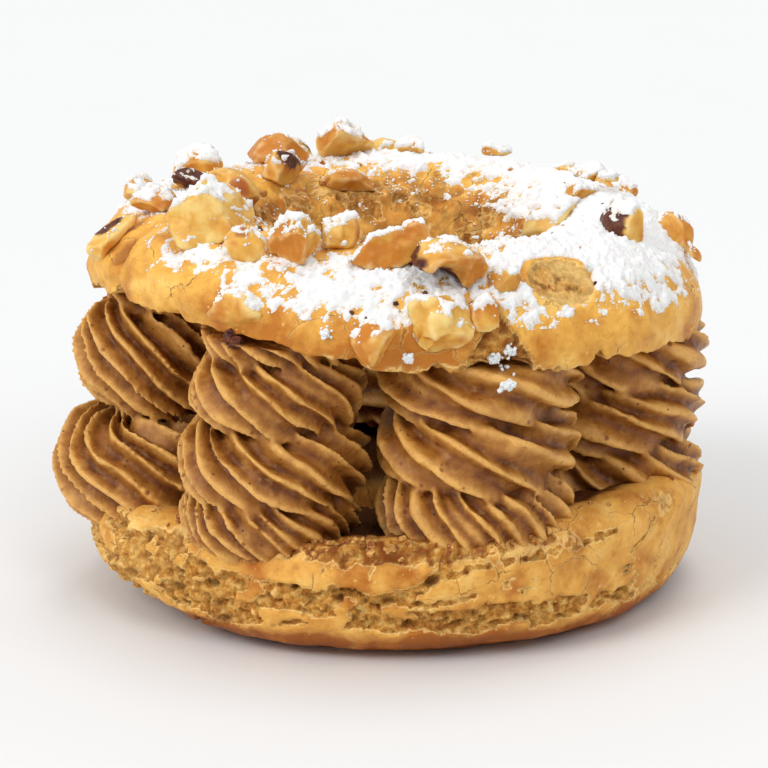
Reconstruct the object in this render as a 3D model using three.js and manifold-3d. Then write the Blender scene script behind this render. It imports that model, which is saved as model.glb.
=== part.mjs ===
// Paris-Brest: a split choux ring, filled with seven piped swirls of praline cream
// and closed with a domed choux lid that carries pieces of chopped hazelnut.
// Millimetres, +Z up. The pastry stands on its flat underside at z = 0, front towards -Y.
import * as THREE from "three";
import { mergeVertices } from "three/addons/utils/BufferGeometryUtils.js";
import Module from "manifold-3d";

const wasm = await Module();
wasm.setup();

// ---- Driving dimensions ----
const GAP = 0.3; // clear space kept between touching pieces
const BASE = {
  footRadius: 39.5, // edge of the flat underside
  bulgeRadius: 47.4, // widest part of the side
  bulgeHeight: 10,
  rimRadius: 45, // edge of the cut face that carries the cream
  rimHeight: 16.4,
  holeRadius: 13.5,
};
const LID = {
  rimRadius: 46.6, // lower, cut edge
  bulgeRadius: 47.7, // widest part, just above the cut edge
  crestRadius: 32.5,
  crestHeight: 15.2, // top of the dome above the cut edge
  holeRadius: 19,
  seatHeight: 45.6, // height of the cut edge's middle above the table
  roll: THREE.MathUtils.degToRad(4.7), // the lid lies lower on its +X side
};
const CREAM = {
  count: 7,
  ringRadius: 35.6, // circle that the swirls' axes stand on
  centreX: -2.2, // the ring of cream sits a little to the left of the choux
  radius: 16,
  ridges: 8,
  ridgeDepth: 1.5,
  twistPerMm: 0.062, // how far a ridge turns about the axis, in radians for each mm it drops
};
const NUT = { long: 15, wide: 13 }; // a whole hazelnut kernel

const RING_STEPS = 40;
const SWIRL_LEVELS = 8;
const POINTS_PER_RIDGE = 3;

const degrees = THREE.MathUtils.degToRad;
const { lerp, smoothstep } = THREE.MathUtils;

// ---- Meshes and solids ----
function meshGeometry(positions, faces) {
  const geometry = new THREE.BufferGeometry();
  geometry.setAttribute("position", new THREE.Float32BufferAttribute(positions, 3));
  geometry.setIndex(faces);
  return geometry;
}

function toSolid(geometry, matrix = new THREE.Matrix4()) {
  const plain = geometry.clone().applyMatrix4(matrix);
  plain.deleteAttribute("normal");
  plain.deleteAttribute("uv");
  const merged = mergeVertices(plain, 1e-4);
  return new wasm.Manifold(
    new wasm.Mesh({
      numProp: 3,
      vertProperties: merged.attributes.position.array,
      triVerts: new Uint32Array(merged.index.array),
    }),
  );
}

function fromSolid(solid) {
  const made = solid.getMesh();
  const geometry = meshGeometry(made.vertProperties, [...made.triVerts]);
  geometry.computeVertexNormals();
  return geometry;
}

// A closed ring: section(angle) gives the same number of [radius, height] points at every
// angle, anticlockwise with radius to the right and height up.
function ringGeometry(section, steps) {
  const positions = [];
  const faces = [];
  const size = section(0).length;
  for (let i = 0; i < steps; i++) {
    const angle = (2 * Math.PI * i) / steps;
    for (const [radius, height] of section(angle))
      positions.push(radius * Math.cos(angle), radius * Math.sin(angle), height);
    const next = ((i + 1) % steps) * size;
    for (let j = 0; j < size; j++) {
      const k = (j + 1) % size;
      const here = i * size;
      faces.push(here + j, next + j, next + k);
      faces.push(here + j, next + k, here + k);
    }
  }
  return meshGeometry(positions, faces);
}

// A smooth rise of the given height, centred on an angle and fading out over its width.
function bump(angle, centre, width, height) {
  const away = Math.atan2(Math.sin(angle - centre), Math.cos(angle - centre));
  return height * smoothstep(1 - Math.abs(away) / width, 0, 1);
}

// Slow, hand-made unevenness round a ring.
function uneven(angle, phase, amount) {
  const wave = Math.sin(2 * angle + phase) + 0.7 * Math.sin(5 * angle + 2.3 * phase);
  return amount * (wave + 0.5 * Math.sin(9 * angle - 1.7 * phase));
}

// ---- Choux base ----
// grown moves every face outwards, which gives the tool that cuts the cream clear of the choux.
function baseSection(angle, grown = 0) {
  const out = uneven(angle, 0.6, 0.45);
  const tucked = bump(angle, degrees(-90), 1, -1.2) + bump(angle, degrees(-152), 0.6, -1.8);
  const foot = BASE.footRadius + uneven(angle, 2.1, 0.5) + tucked;
  const bulge = BASE.bulgeRadius + out + grown;
  const rim = BASE.rimRadius + bump(angle, 0, 1, 1.8) + out + grown;
  const raised = 0.8 * Math.cos(angle) - 0.6 * Math.sin(angle) + bump(angle, degrees(-38), 0.9, 2.8);
  const top = BASE.rimHeight + raised + uneven(angle, 4.2, 0.2) + grown;
  const hole = BASE.holeRadius + uneven(angle, 3.3, 0.4) - grown;
  const floor = -grown;
  return [
    [hole + 1.5, floor],
    [foot, floor],
    [lerp(foot, bulge, 0.6), 2.2 - grown],
    [bulge - 0.9, 5.6],
    [bulge, BASE.bulgeHeight],
    [bulge - 0.5, top - 2.6],
    [rim, top - 0.4],
    [rim - 2.5, top],
    [hole + 2, top - 0.8],
    [hole - 0.6, lerp(0, top, 0.55)],
  ];
}

// ---- Choux lid, in its own frame with the cut edge at z = 0 ----
function lidSection(angle, grown = 0) {
  const out = uneven(angle, 1.9, 0.4);
  const rimLift = bump(angle, degrees(-133), 0.75, 1.9) + bump(angle, degrees(-35), 0.7, 1.4);
  const low = rimLift + uneven(angle, 5.1, 0.25) - grown;
  const swell = 1.7 * Math.cos(angle) + 0.7 * Math.sin(angle);
  const high = LID.crestHeight + swell + uneven(angle, 0.2, 0.35) + grown;
  const rim = LID.rimRadius + out + grown;
  const bulge = LID.bulgeRadius + out + grown;
  const crest = LID.crestRadius;
  const hole = LID.holeRadius + uneven(angle, 2.8, 0.5) - grown;
  const across = (share) => lerp(crest, bulge, share);
  const inward = (share) => lerp(crest, hole, share);
  return [
    [hole + 0.8, 0.3 - grown],
    [crest, 0.9 - grown],
    [rim - 2, Math.min(low + 0.6, 2.4)],
    [rim, low],
    [bulge, low + 3.2],
    [across(0.94), lerp(low, high, 0.42)],
    [across(0.74), lerp(low, high, 0.7)],
    [across(0.4), lerp(low, high, 0.91)],
    [crest, high],
    [inward(0.4), high - 1.1],
    [inward(0.75), lerp(0, high, 0.7)],
    [inward(0.97), lerp(0, high, 0.4)],
    [hole, 2],
  ];
}

// ---- Piped cream ----
// Radius of a swirl as a share of its full radius, at a share of its height:
// two rounded tiers with a waist between them, drawn in at the foot and the top.
function tierShare(share) {
  const tier = Math.sqrt(Math.abs(Math.sin(2 * Math.PI * share)));
  const foot = 0.14 * smoothstep(share, 0, 0.2);
  return 0.66 + foot + 0.2 * tier - 0.1 * smoothstep(share, 0.45, 1);
}

// A swirl stands on its own origin; its ridges run down to the right as seen from outside.
function swirlGeometry({ radius, height, phase, lean }) {
  const around = CREAM.ridges * POINTS_PER_RIDGE;
  const positions = [];
  const faces = [];
  for (let level = 0; level <= SWIRL_LEVELS; level++) {
    const share = level / SWIRL_LEVELS;
    const z = share * height;
    for (let i = 0; i < around; i++) {
      const angle = (2 * Math.PI * i) / around;
      const crest = Math.cos((2 * Math.PI * i) / POINTS_PER_RIDGE);
      const r = radius * tierShare(share) + (CREAM.ridgeDepth / 2) * crest;
      const turned = angle + phase - CREAM.twistPerMm * z;
      const x = r * Math.cos(turned) + lean.x * z;
      positions.push(x, r * Math.sin(turned) + lean.y * z, z);
    }
  }
  for (let level = 0; level < SWIRL_LEVELS; level++)
    for (let i = 0; i < around; i++) {
      const next = (i + 1) % around;
      const here = level * around;
      const above = here + around;
      faces.push(here + i, here + next, above + next);
      faces.push(here + i, above + next, above + i);
    }
  const foot = positions.push(0, 0, 0) / 3 - 1;
  const top = positions.push(lean.x * height, lean.y * height, height) / 3 - 1;
  const last = SWIRL_LEVELS * around;
  for (let i = 0; i < around; i++) {
    const next = (i + 1) % around;
    faces.push(foot, next, i);
    faces.push(top, last + i, last + next);
  }
  return meshGeometry(positions, faces);
}

// Each swirl: where it stands round the ring, how far out, its size, its foot's height,
// and how far it leans outwards for each mm of height.
const SWIRLS = Array.from({ length: CREAM.count }, (_, i) => ({
  angle: degrees(-90) + (2 * Math.PI * (i - 1.5)) / CREAM.count,
  out: 0,
  scale: 0.95,
  foot: 12,
  lean: -0.05,
}));
Object.assign(SWIRLS[0], { out: 1.6, scale: 1.04, foot: 12, lean: -0.1 });
Object.assign(SWIRLS[1], { scale: 0.94, foot: 15.5 });
Object.assign(SWIRLS[2], { scale: 0.98, foot: 15.5 });
Object.assign(SWIRLS[3], { out: 0.8, scale: 0.98, foot: 15, lean: -0.02 });

// ---- Hazelnut pieces ----
// A block that cuts away everything beyond a face whose outward normal is given and which
// lies the given distance from the kernel's centre.
const BLOCK = 40;
function cutAway(solid, normal, distance) {
  const turn = new THREE.Quaternion().setFromUnitVectors(
    new THREE.Vector3(0, 0, 1),
    new THREE.Vector3(...normal).normalize(),
  );
  const block = new THREE.BoxGeometry(BLOCK, BLOCK, BLOCK).translate(0, 0, BLOCK / 2 + distance);
  return solid.subtract(toSolid(block.applyQuaternion(turn)));
}

function kernel(length, width) {
  const round = new THREE.IcosahedronGeometry(0.5, 1);
  return toSolid(round.scale(length, width, width));
}

// Each kind is chopped from a whole kernel that lies along x; its main cut face looks down.
// The distances are in mm, so the small kernels keep more of their roundness.
const CHOP = {
  half: (nut) => cutAway(nut, [0, 0, -1], 0.4),
  trimmed: (nut) => cutAway(cutAway(nut, [0, 0, -1], 0.4), [0.55, -1, 0], 3.8),
  thick: (nut) => cutAway(nut, [0.15, 0.1, -1], 2.6),
  quarter: (nut) => cutAway(cutAway(nut, [0, 0, -1], 0), [0.2, -1, 0.1], 0.5),
  wedge: (nut) => cutAway(cutAway(nut, [0.3, 0, -1], 0.5), [0.5, -0.9, 0.5], 1.2),
  stub: (nut) => cutAway(cutAway(nut, [0, 0.2, -1], 0.6), [1, 0.3, 0.1], 1.4),
  chip: (nut) => cutAway(cutAway(nut, [0.1, 0, -1], -2.4), [-1, 0.5, 0], 2),
  bowl: (nut) => {
    const hollow = kernel(0.72 * NUT.long, 0.62 * NUT.wide);
    return cutAway(nut, [0.3, 0, -1], 0.8).subtract(hollow.translate(-2.2, 0, -2.4));
  },
};

// The lid's upper surface in its own frame: height and upward normal at an angle and radius.
function lidSurface(angle, radius) {
  const profile = lidSection(angle).slice(4);
  const inner = profile.findIndex(([r]) => r < radius);
  const [r1, z1] = profile[inner - 1];
  const [r2, z2] = profile[inner];
  const height = lerp(z1, z2, (r1 - radius) / (r1 - r2));
  const slope = Math.hypot(r1 - r2, z2 - z1);
  const normal = { out: (z2 - z1) / slope, up: (r1 - r2) / slope };
  return { height, normal };
}

// Stands a piece on the lid. Before it is set down, spin turns it on its upright axis and tip
// rolls its cut face up towards -Y. heading then turns it from +X, and rise lifts its centre.
function nutPlace({ angle, radius, heading = 0, tip = 0, spin = 0, rise = 0 }) {
  const a = degrees(angle);
  const { height, normal } = lidSurface(a, radius);
  const up = new THREE.Vector3(normal.out * Math.cos(a), normal.out * Math.sin(a), normal.up);
  const right = new THREE.Vector3(1, 0, 0).projectOnPlane(up).normalize();
  const foot = new THREE.Vector3(radius * Math.cos(a), radius * Math.sin(a), height);
  return new THREE.Matrix4()
    .makeBasis(right, up.clone().cross(right), up)
    .multiply(new THREE.Matrix4().makeRotationZ(degrees(heading)))
    .multiply(new THREE.Matrix4().makeRotationX(degrees(-tip)))
    .multiply(new THREE.Matrix4().makeRotationZ(degrees(spin)))
    .setPosition(foot.addScaledVector(up, rise))
    .premultiply(lidPlace);
}

// The pieces as they lie: angle and radius on the lid, what they are chopped to, and their
// size as a share of a whole kernel.
const NUTS = [
  // front left to front right
  { angle: -161, radius: 45, kind: "quarter", size: 0.68, heading: 35, tip: 70, rise: 0.8 },
  { angle: -141, radius: 38, kind: "thick", size: 1.03, heading: -12, tip: -4, rise: 0.3 },
  { angle: -125.5, radius: 40, kind: "stub", size: 0.56, heading: 150, tip: 20, rise: 0.2 },
  { angle: -111.5, radius: 41, kind: "quarter", size: 0.84, heading: -40, tip: 95, spin: 90, rise: 1 },
  { angle: -108.5, radius: 33.5, kind: "wedge", size: 0.56, heading: -120, tip: 70, rise: 1.6 },
  { angle: -93, radius: 38.5, kind: "trimmed", size: 0.92, heading: 8, tip: 118, spin: -48, rise: 0.9 },
  { angle: -80.5, radius: 41, kind: "bowl", size: 0.86, heading: -25, tip: 62, rise: 0.9 },
  { angle: -82.5, radius: 46, kind: "half", size: 0.7, heading: -35, tip: -15, rise: -0.6 },
  { angle: -75, radius: 45, kind: "chip", size: 0.6, heading: 10, rise: -1.4 },
  { angle: -93, radius: 47.4, kind: "stub", size: 0.64, heading: -45, tip: -15, rise: -0.8 },
  { angle: -120, radius: 47.3, kind: "half", size: 0.46, heading: 5, rise: -0.4 },
  { angle: -68.5, radius: 41, kind: "stub", size: 0.42, heading: 60, rise: -0.4 },
  // right
  { angle: -21, radius: 37, kind: "half", size: 0.74, heading: -72, tip: -105, rise: 0.9 },
  { angle: -3, radius: 42, kind: "stub", size: 0.55, heading: 20, tip: 15, rise: -0.2 },
  { angle: -10, radius: 44.8, kind: "chip", size: 0.5, heading: 70, tip: 10, rise: -0.8 },
  { angle: 2, radius: 23.6, kind: "half", size: 0.78, heading: 35, rise: -1.4 },
  { angle: 8, radius: 29.5, kind: "wedge", size: 0.5, heading: 10, tip: 60, rise: 0 },
  { angle: 12, radius: 33.5, kind: "chip", size: 0.5, heading: 70, tip: 20, rise: -0.4 },
  { angle: 24, radius: 37.5, kind: "quarter", size: 0.55, heading: -30, tip: 40, rise: 0 },
  { angle: 33, radius: 36.5, kind: "stub", size: 0.5, heading: 10, tip: 10, rise: -0.3 },
  // back
  { angle: 50, radius: 44, kind: "half", size: 0.8, heading: 130, rise: -0.8 },
  { angle: 65, radius: 36, kind: "chip", size: 0.6, heading: 10, rise: -1 },
  { angle: 72, radius: 45, kind: "quarter", size: 0.75, heading: 30, tip: 20, rise: 0 },
  { angle: 87.5, radius: 34.5, kind: "stub", size: 0.42, heading: 5, tip: 20, rise: -0.2 },
  { angle: 104, radius: 33.5, kind: "wedge", size: 0.84, heading: 10, tip: 40, rise: 2.2 },
  { angle: 95, radius: 44, kind: "bowl", size: 0.8, heading: 140, tip: 20, rise: 0.2 },
  { angle: 117, radius: 41.5, kind: "stub", size: 0.75, heading: 60, rise: -0.2 },
  { angle: 136, radius: 45.5, kind: "wedge", size: 0.75, heading: 40, tip: -20, rise: 0 },
  // back left and left
  { angle: 127.5, radius: 34, kind: "half", size: 0.76, heading: -8, tip: 12, rise: -0.2 },
  { angle: 130, radius: 27, kind: "wedge", size: 0.88, heading: 35, tip: 125, rise: 0.9 },
  { angle: 111, radius: 23.4, kind: "quarter", size: 0.66, heading: -6, tip: 15, rise: -0.8 },
  { angle: 149, radius: 37.5, kind: "stub", size: 0.74, heading: 30, rise: -0.6 },
  { angle: 167, radius: 28, kind: "half", size: 0.7, heading: -35, tip: 15, rise: -1.2 },
  { angle: 176, radius: 33, kind: "wedge", size: 0.55, heading: -30, tip: 60, rise: 0.2 },
  { angle: 169, radius: 41, kind: "quarter", size: 0.6, heading: 60, tip: 20, rise: -0.3 },
  { angle: -169, radius: 39, kind: "stub", size: 0.56, heading: 110, tip: 10, rise: -0.2 },
];

// ---- Assembly ----
const lidPlace = new THREE.Matrix4()
  .makeRotationY(LID.roll)
  .setPosition(0, 0, LID.seatHeight);

const baseGeometry = ringGeometry((a) => baseSection(a), RING_STEPS);
const lidGeometry = ringGeometry((a) => lidSection(a), RING_STEPS);
const baseClear = toSolid(ringGeometry((a) => baseSection(a, GAP), RING_STEPS));
const lidClear = toSolid(ringGeometry((a) => lidSection(a, GAP), RING_STEPS), lidPlace);

// Everything above the lid's cut edge, so that no cream shows over it or in its hole.
const ABOVE = 60;
const aboveLid = toSolid(
  new THREE.BoxGeometry(4 * ABOVE, 4 * ABOVE, ABOVE).translate(0, 0, ABOVE / 2),
  lidPlace,
);

const colours = { choux: 0xd9a05b, lid: 0xd99448, cream: 0xb98a58, nut: 0xe2b878 };
function material(colour, roughness) {
  return new THREE.MeshStandardMaterial({ color: colour, roughness, metalness: 0 });
}
const chouxMaterial = material(colours.choux, 0.7);
const lidMaterial = material(colours.lid, 0.6);
const creamMaterial = material(colours.cream, 0.5);
const nutMaterial = material(colours.nut, 0.55);

function largest(solid) {
  return solid.decompose().sort((a, b) => b.volume() - a.volume())[0];
}

function named(name, geometry, look) {
  const mesh = new THREE.Mesh(geometry, look);
  mesh.name = name;
  return mesh;
}

const pastry = new THREE.Group();
pastry.add(named("base_choux", baseGeometry, chouxMaterial));

const lidGroup = new THREE.Group();
lidGroup.applyMatrix4(lidPlace);
lidGroup.add(named("lid_choux", lidGeometry, lidMaterial));
pastry.add(lidGroup);

// Each swirl is cut clear of the choux and of the swirls piped before it.
let filled = baseClear.add(lidClear).add(aboveLid);
SWIRLS.forEach((swirl, i) => {
  const out = CREAM.ringRadius + swirl.out;
  const outward = new THREE.Vector2(Math.cos(swirl.angle), Math.sin(swirl.angle));
  const place = new THREE.Matrix4().makeTranslation(
    CREAM.centreX + out * outward.x,
    out * outward.y,
    swirl.foot,
  );
  const shape = (grown) =>
    toSolid(
      swirlGeometry({
        radius: CREAM.radius * swirl.scale + grown,
        height: LID.seatHeight + 8 - swirl.foot,
        phase: 1.3 * i,
        lean: outward.clone().multiplyScalar(swirl.lean),
      }),
      place,
    );
  const cut = largest(shape(0).subtract(filled));
  pastry.add(named(`cream_swirl_${i + 1}`, fromSolid(cut), creamMaterial));
  filled = filled.add(shape(GAP));
});

// Each nut piece is cut clear of the lid and of the pieces laid before it.
let covered = lidClear;
NUTS.forEach((nut, i) => {
  const place = nutPlace(nut);
  const shape = (grown) => {
    const length = NUT.long * nut.size + 2 * grown;
    const width = NUT.wide * nut.size + 2 * grown;
    const chopped = CHOP[nut.kind](kernel(length, width));
    return chopped.transform(place.elements);
  };
  const name = `hazelnut_${String(i + 1).padStart(2, "0")}`;
  const cut = largest(shape(0).subtract(covered));
  pastry.add(named(name, fromSolid(cut), nutMaterial));
  covered = covered.add(shape(GAP));
});

// The origin is the middle of the underside of the whole pastry's box.
const box = new THREE.Box3().setFromObject(pastry, true);
const middle = box.getCenter(new THREE.Vector3());
pastry.position.set(-middle.x, -middle.y, -box.min.z);

export default pastry;
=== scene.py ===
"""Looks of a Paris-Brest: two choux halves, seven piped swirls of praline cream,
chopped hazelnuts, icing sugar and crumbs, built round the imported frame.

Shapes are worked out in millimetres with numpy and written to Blender in metres.
Angles run round the ring from +X, so the front of the pastry is at -90 degrees.
"""
import itertools
import math

import bpy
import numpy as np
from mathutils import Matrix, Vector
from mathutils.bvhtree import BVHTree


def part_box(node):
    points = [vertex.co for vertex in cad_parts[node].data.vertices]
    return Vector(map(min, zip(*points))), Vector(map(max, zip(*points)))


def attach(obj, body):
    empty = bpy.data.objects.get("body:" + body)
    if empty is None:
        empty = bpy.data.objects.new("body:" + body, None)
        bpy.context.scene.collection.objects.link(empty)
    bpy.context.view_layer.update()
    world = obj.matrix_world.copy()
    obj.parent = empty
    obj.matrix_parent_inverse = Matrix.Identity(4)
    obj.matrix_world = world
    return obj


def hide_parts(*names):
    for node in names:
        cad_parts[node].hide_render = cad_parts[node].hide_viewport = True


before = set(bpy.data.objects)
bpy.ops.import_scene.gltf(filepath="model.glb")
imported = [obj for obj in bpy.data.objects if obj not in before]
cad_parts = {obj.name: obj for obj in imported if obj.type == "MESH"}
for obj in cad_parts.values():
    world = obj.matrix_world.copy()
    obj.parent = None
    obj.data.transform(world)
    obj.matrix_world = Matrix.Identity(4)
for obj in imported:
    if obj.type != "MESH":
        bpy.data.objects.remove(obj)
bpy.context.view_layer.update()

MM = 0.001
ROOT = "root"
BASE_LOW, BASE_HIGH = (np.array(corner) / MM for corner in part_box("base_choux"))
LID_LOW, LID_HIGH = (np.array(corner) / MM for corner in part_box("lid_choux"))
CENTRE = np.array([*((BASE_LOW + BASE_HIGH) / 2)[:2], 0.0])
RING_RADIUS = (BASE_HIGH[0] - BASE_LOW[0]) / 2
NUT_NODES = sorted(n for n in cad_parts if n.startswith("hazelnut"))
SWIRL_NODES = sorted(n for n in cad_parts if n.startswith("cream"))


def cad_mesh(name):
    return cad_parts[name].data


def outward(angle):
    """The way out from the middle of the ring at an angle in radians."""
    return np.array([math.cos(angle), math.sin(angle), 0.0])


# ---------------------------------------------------------------- noise
def smoothstep(low, high, value):
    """0 up to low and 1 from high on, with a smooth rise between; low may be the larger."""
    share = np.clip((value - low) / (high - low), 0, 1)
    return share * share * (3 - 2 * share)


def hashed(cells, seed):
    """A repeatable pseudo-random whole number for each integer cell."""
    x, y, z = (cells[..., k].astype(np.int64) for k in range(3))
    n = x * 73856093 ^ y * 19349663 ^ z * 83492791 ^ (seed + 1) * 2654435761
    n = (n ^ (n >> 13)) * 1274126177
    return (n ^ (n >> 16)) & 0x7FFFFFFF


def unit(cells, seed):
    """A repeatable chance number from 0 to 1 for each integer cell."""
    return hashed(cells, seed) / float(0x7FFFFFFF)


def chances(cells, seed, step):
    """Three such numbers for each cell."""
    return np.stack([unit(cells, seed + step * k) for k in range(3)], axis=1)


def perlin(points, size, seed):
    """Gradient noise from about -1 to 1, with features of the given size."""
    p = points / size
    base = np.floor(p).astype(np.int64)
    part = p - base
    fade = part**3 * (part * (part * 6 - 15) + 10)
    total = np.zeros(len(points))
    for corner in np.ndindex(2, 2, 2):
        corner = np.array(corner)
        cell = base + corner
        angle = unit(cell, seed) * 2 * math.pi
        height = unit(cell, seed + 7919) * 2 - 1
        flat = np.sqrt(1 - height**2)
        away = part - corner
        slope = away[:, 0] * flat * np.cos(angle) + away[:, 1] * flat * np.sin(angle)
        slope += away[:, 2] * height
        weight = np.where(corner, fade, 1 - fade).prod(axis=1)
        total += weight * slope
    return total * 1.6


def fbm(points, size, seed, octaves=3):
    """Gradient noise with finer layers added, each half as large and half as strong."""
    total = np.zeros(len(points))
    share = 1.0
    for octave in range(octaves):
        total += share * perlin(points, size, seed + 31 * octave)
        size *= 0.5
        share *= 0.5
    return total


def near_centres(points, size, seed):
    """Each scattered centre near the points: its cells, and the way from it in cell sizes."""
    p = points / size
    base = np.floor(p).astype(np.int64)
    for shift in np.ndindex(3, 3, 3):
        cell = base + np.array(shift) - 1
        yield cell, p - cell - chances(cell, seed, 101)


def bubbles(points, size, seed):
    """Distance from the nearest of many scattered centres, in cell sizes: 0 at a centre."""
    gaps = [(away**2).sum(axis=1) for _, away in near_centres(points, size, seed)]
    return np.sqrt(np.minimum.reduce(gaps))


def bell(value):
    """1 at 0, falling away on both sides."""
    return np.exp(-(value**2))


# ---------------------------------------------------------------- meshes
def make_mesh(name, points, faces, smooth=True):
    """A new object from points in mm and an array of triangles or quads."""
    mesh = bpy.data.meshes.new(name)
    sides = faces.shape[1]
    mesh.vertices.add(len(points))
    mesh.vertices.foreach_set("co", (points * MM).astype(np.float32).ravel())
    mesh.loops.add(faces.size)
    mesh.loops.foreach_set("vertex_index", faces.astype(np.int32).ravel())
    mesh.polygons.add(len(faces))
    mesh.polygons.foreach_set("loop_start", np.arange(0, faces.size, sides, dtype=np.int32))
    mesh.update(calc_edges=True)
    mesh.polygons.foreach_set("use_smooth", np.full(len(faces), smooth))
    mesh.validate()
    return placed(name, mesh)


def placed(name, data):
    """A new object in the scene that holds a mesh, light or camera."""
    thing = bpy.data.objects.new(name, data)
    bpy.context.scene.collection.objects.link(thing)
    return thing


def pull(items, name, width, kind=np.float32):
    """One property of every item, as rows of the given width."""
    values = np.empty(len(items) * width, kind)
    items.foreach_get(name, values)
    return values.reshape(-1, width)


def read_points(mesh):
    return pull(mesh.vertices, "co", 3).astype(float) / MM


def read_normals(mesh):
    return pull(mesh.vertex_normals, "vector", 3).astype(float)


def read_edges(mesh):
    return pull(mesh.edges, "vertices", 2, np.int32)


def write_points(mesh, points):
    mesh.vertices.foreach_set("co", (points * MM).astype(np.float32).ravel())
    mesh.update()


def paint(mesh, **layers):
    """Keeps values from 0 to 1 for each point, which the materials read by name."""
    for name, values in layers.items():
        layer = mesh.attributes.new(name, "FLOAT", "POINT")
        layer.data.foreach_set("value", np.clip(values, 0, 1).astype(np.float32))


def relax(points, edges, times, strength=0.5):
    """Moves each point towards the middle of its neighbours."""
    counts = np.bincount(edges.ravel(), minlength=len(points))[:, None]
    for _ in range(times):
        sums = np.zeros_like(points)
        for k in range(points.shape[1]):
            sums[:, k] += np.bincount(edges[:, 0], points[edges[:, 1], k], len(points))
            sums[:, k] += np.bincount(edges[:, 1], points[edges[:, 0], k], len(points))
        points = points + strength * (sums / np.maximum(counts, 1) - points)
    return points


def modified(piece, kind, **settings):
    """Puts a piece's mesh through one of Blender's modifiers."""
    modifier = piece.modifiers.new("change", kind)
    for name, value in settings.items():
        setattr(modifier, name, value)
    graph = bpy.context.evaluated_depsgraph_get()
    changed = bpy.data.meshes.new_from_object(piece.evaluated_get(graph))
    changed.polygons.foreach_set("use_smooth", np.ones(len(changed.polygons), bool))
    old = piece.data
    piece.modifiers.clear()
    piece.data = changed
    bpy.data.meshes.remove(old)
    return changed


def remesh(piece, voxel):
    """Joins overlapping shells into one skin of even quads, voxel mm wide."""
    return modified(piece, "REMESH", mode="VOXEL", voxel_size=voxel * MM)


def tree_of(mesh):
    points = [Vector(p) for p in read_points(mesh)]
    return BVHTree.FromPolygons(points, [tuple(f.vertices) for f in mesh.polygons])


def finish_piece(piece, slot, material, *nodes):
    piece.data.materials.clear()
    piece.data.materials.append(material)
    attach(piece, ROOT)
    if nodes:
        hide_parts(*nodes)


# ---------------------------------------------------------------- materials
class Nodes:
    """Short ways to add nodes to a material or a world."""

    def __init__(self, tree):
        self.tree = tree

    def put(self, value, socket):
        """Links a socket to an input, or sets the input to a constant."""
        if isinstance(value, bpy.types.NodeSocket):
            self.tree.links.new(value, socket)
        elif socket.type == "RGBA":
            socket.default_value = (*value, 1)
        else:
            socket.default_value = value

    def add(self, kind, inputs=(), **properties):
        node = self.tree.nodes.new(kind)
        for name, value in properties.items():
            setattr(node, name, value)
        for key, value in dict(inputs).items():
            self.put(value, node.inputs[key])
        return node

    def ramp(self, value, *stops):
        """Colours along a value, each stop a (position, colour)."""
        node = self.add("ShaderNodeValToRGB", {0: value})
        band = node.color_ramp
        while len(band.elements) < len(stops):
            band.elements.new(0.5)
        for element, (position, colour) in zip(band.elements, stops):
            element.position = position
            element.color = (*colour, 1)
        return node.outputs["Color"]

    def remap(self, value, low, high, start=0.0, end=1.0):
        inputs = {"Value": value, "From Min": low, "From Max": high, "To Min": start, "To Max": end}
        return self.add("ShaderNodeMapRange", inputs).outputs["Result"]


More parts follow.
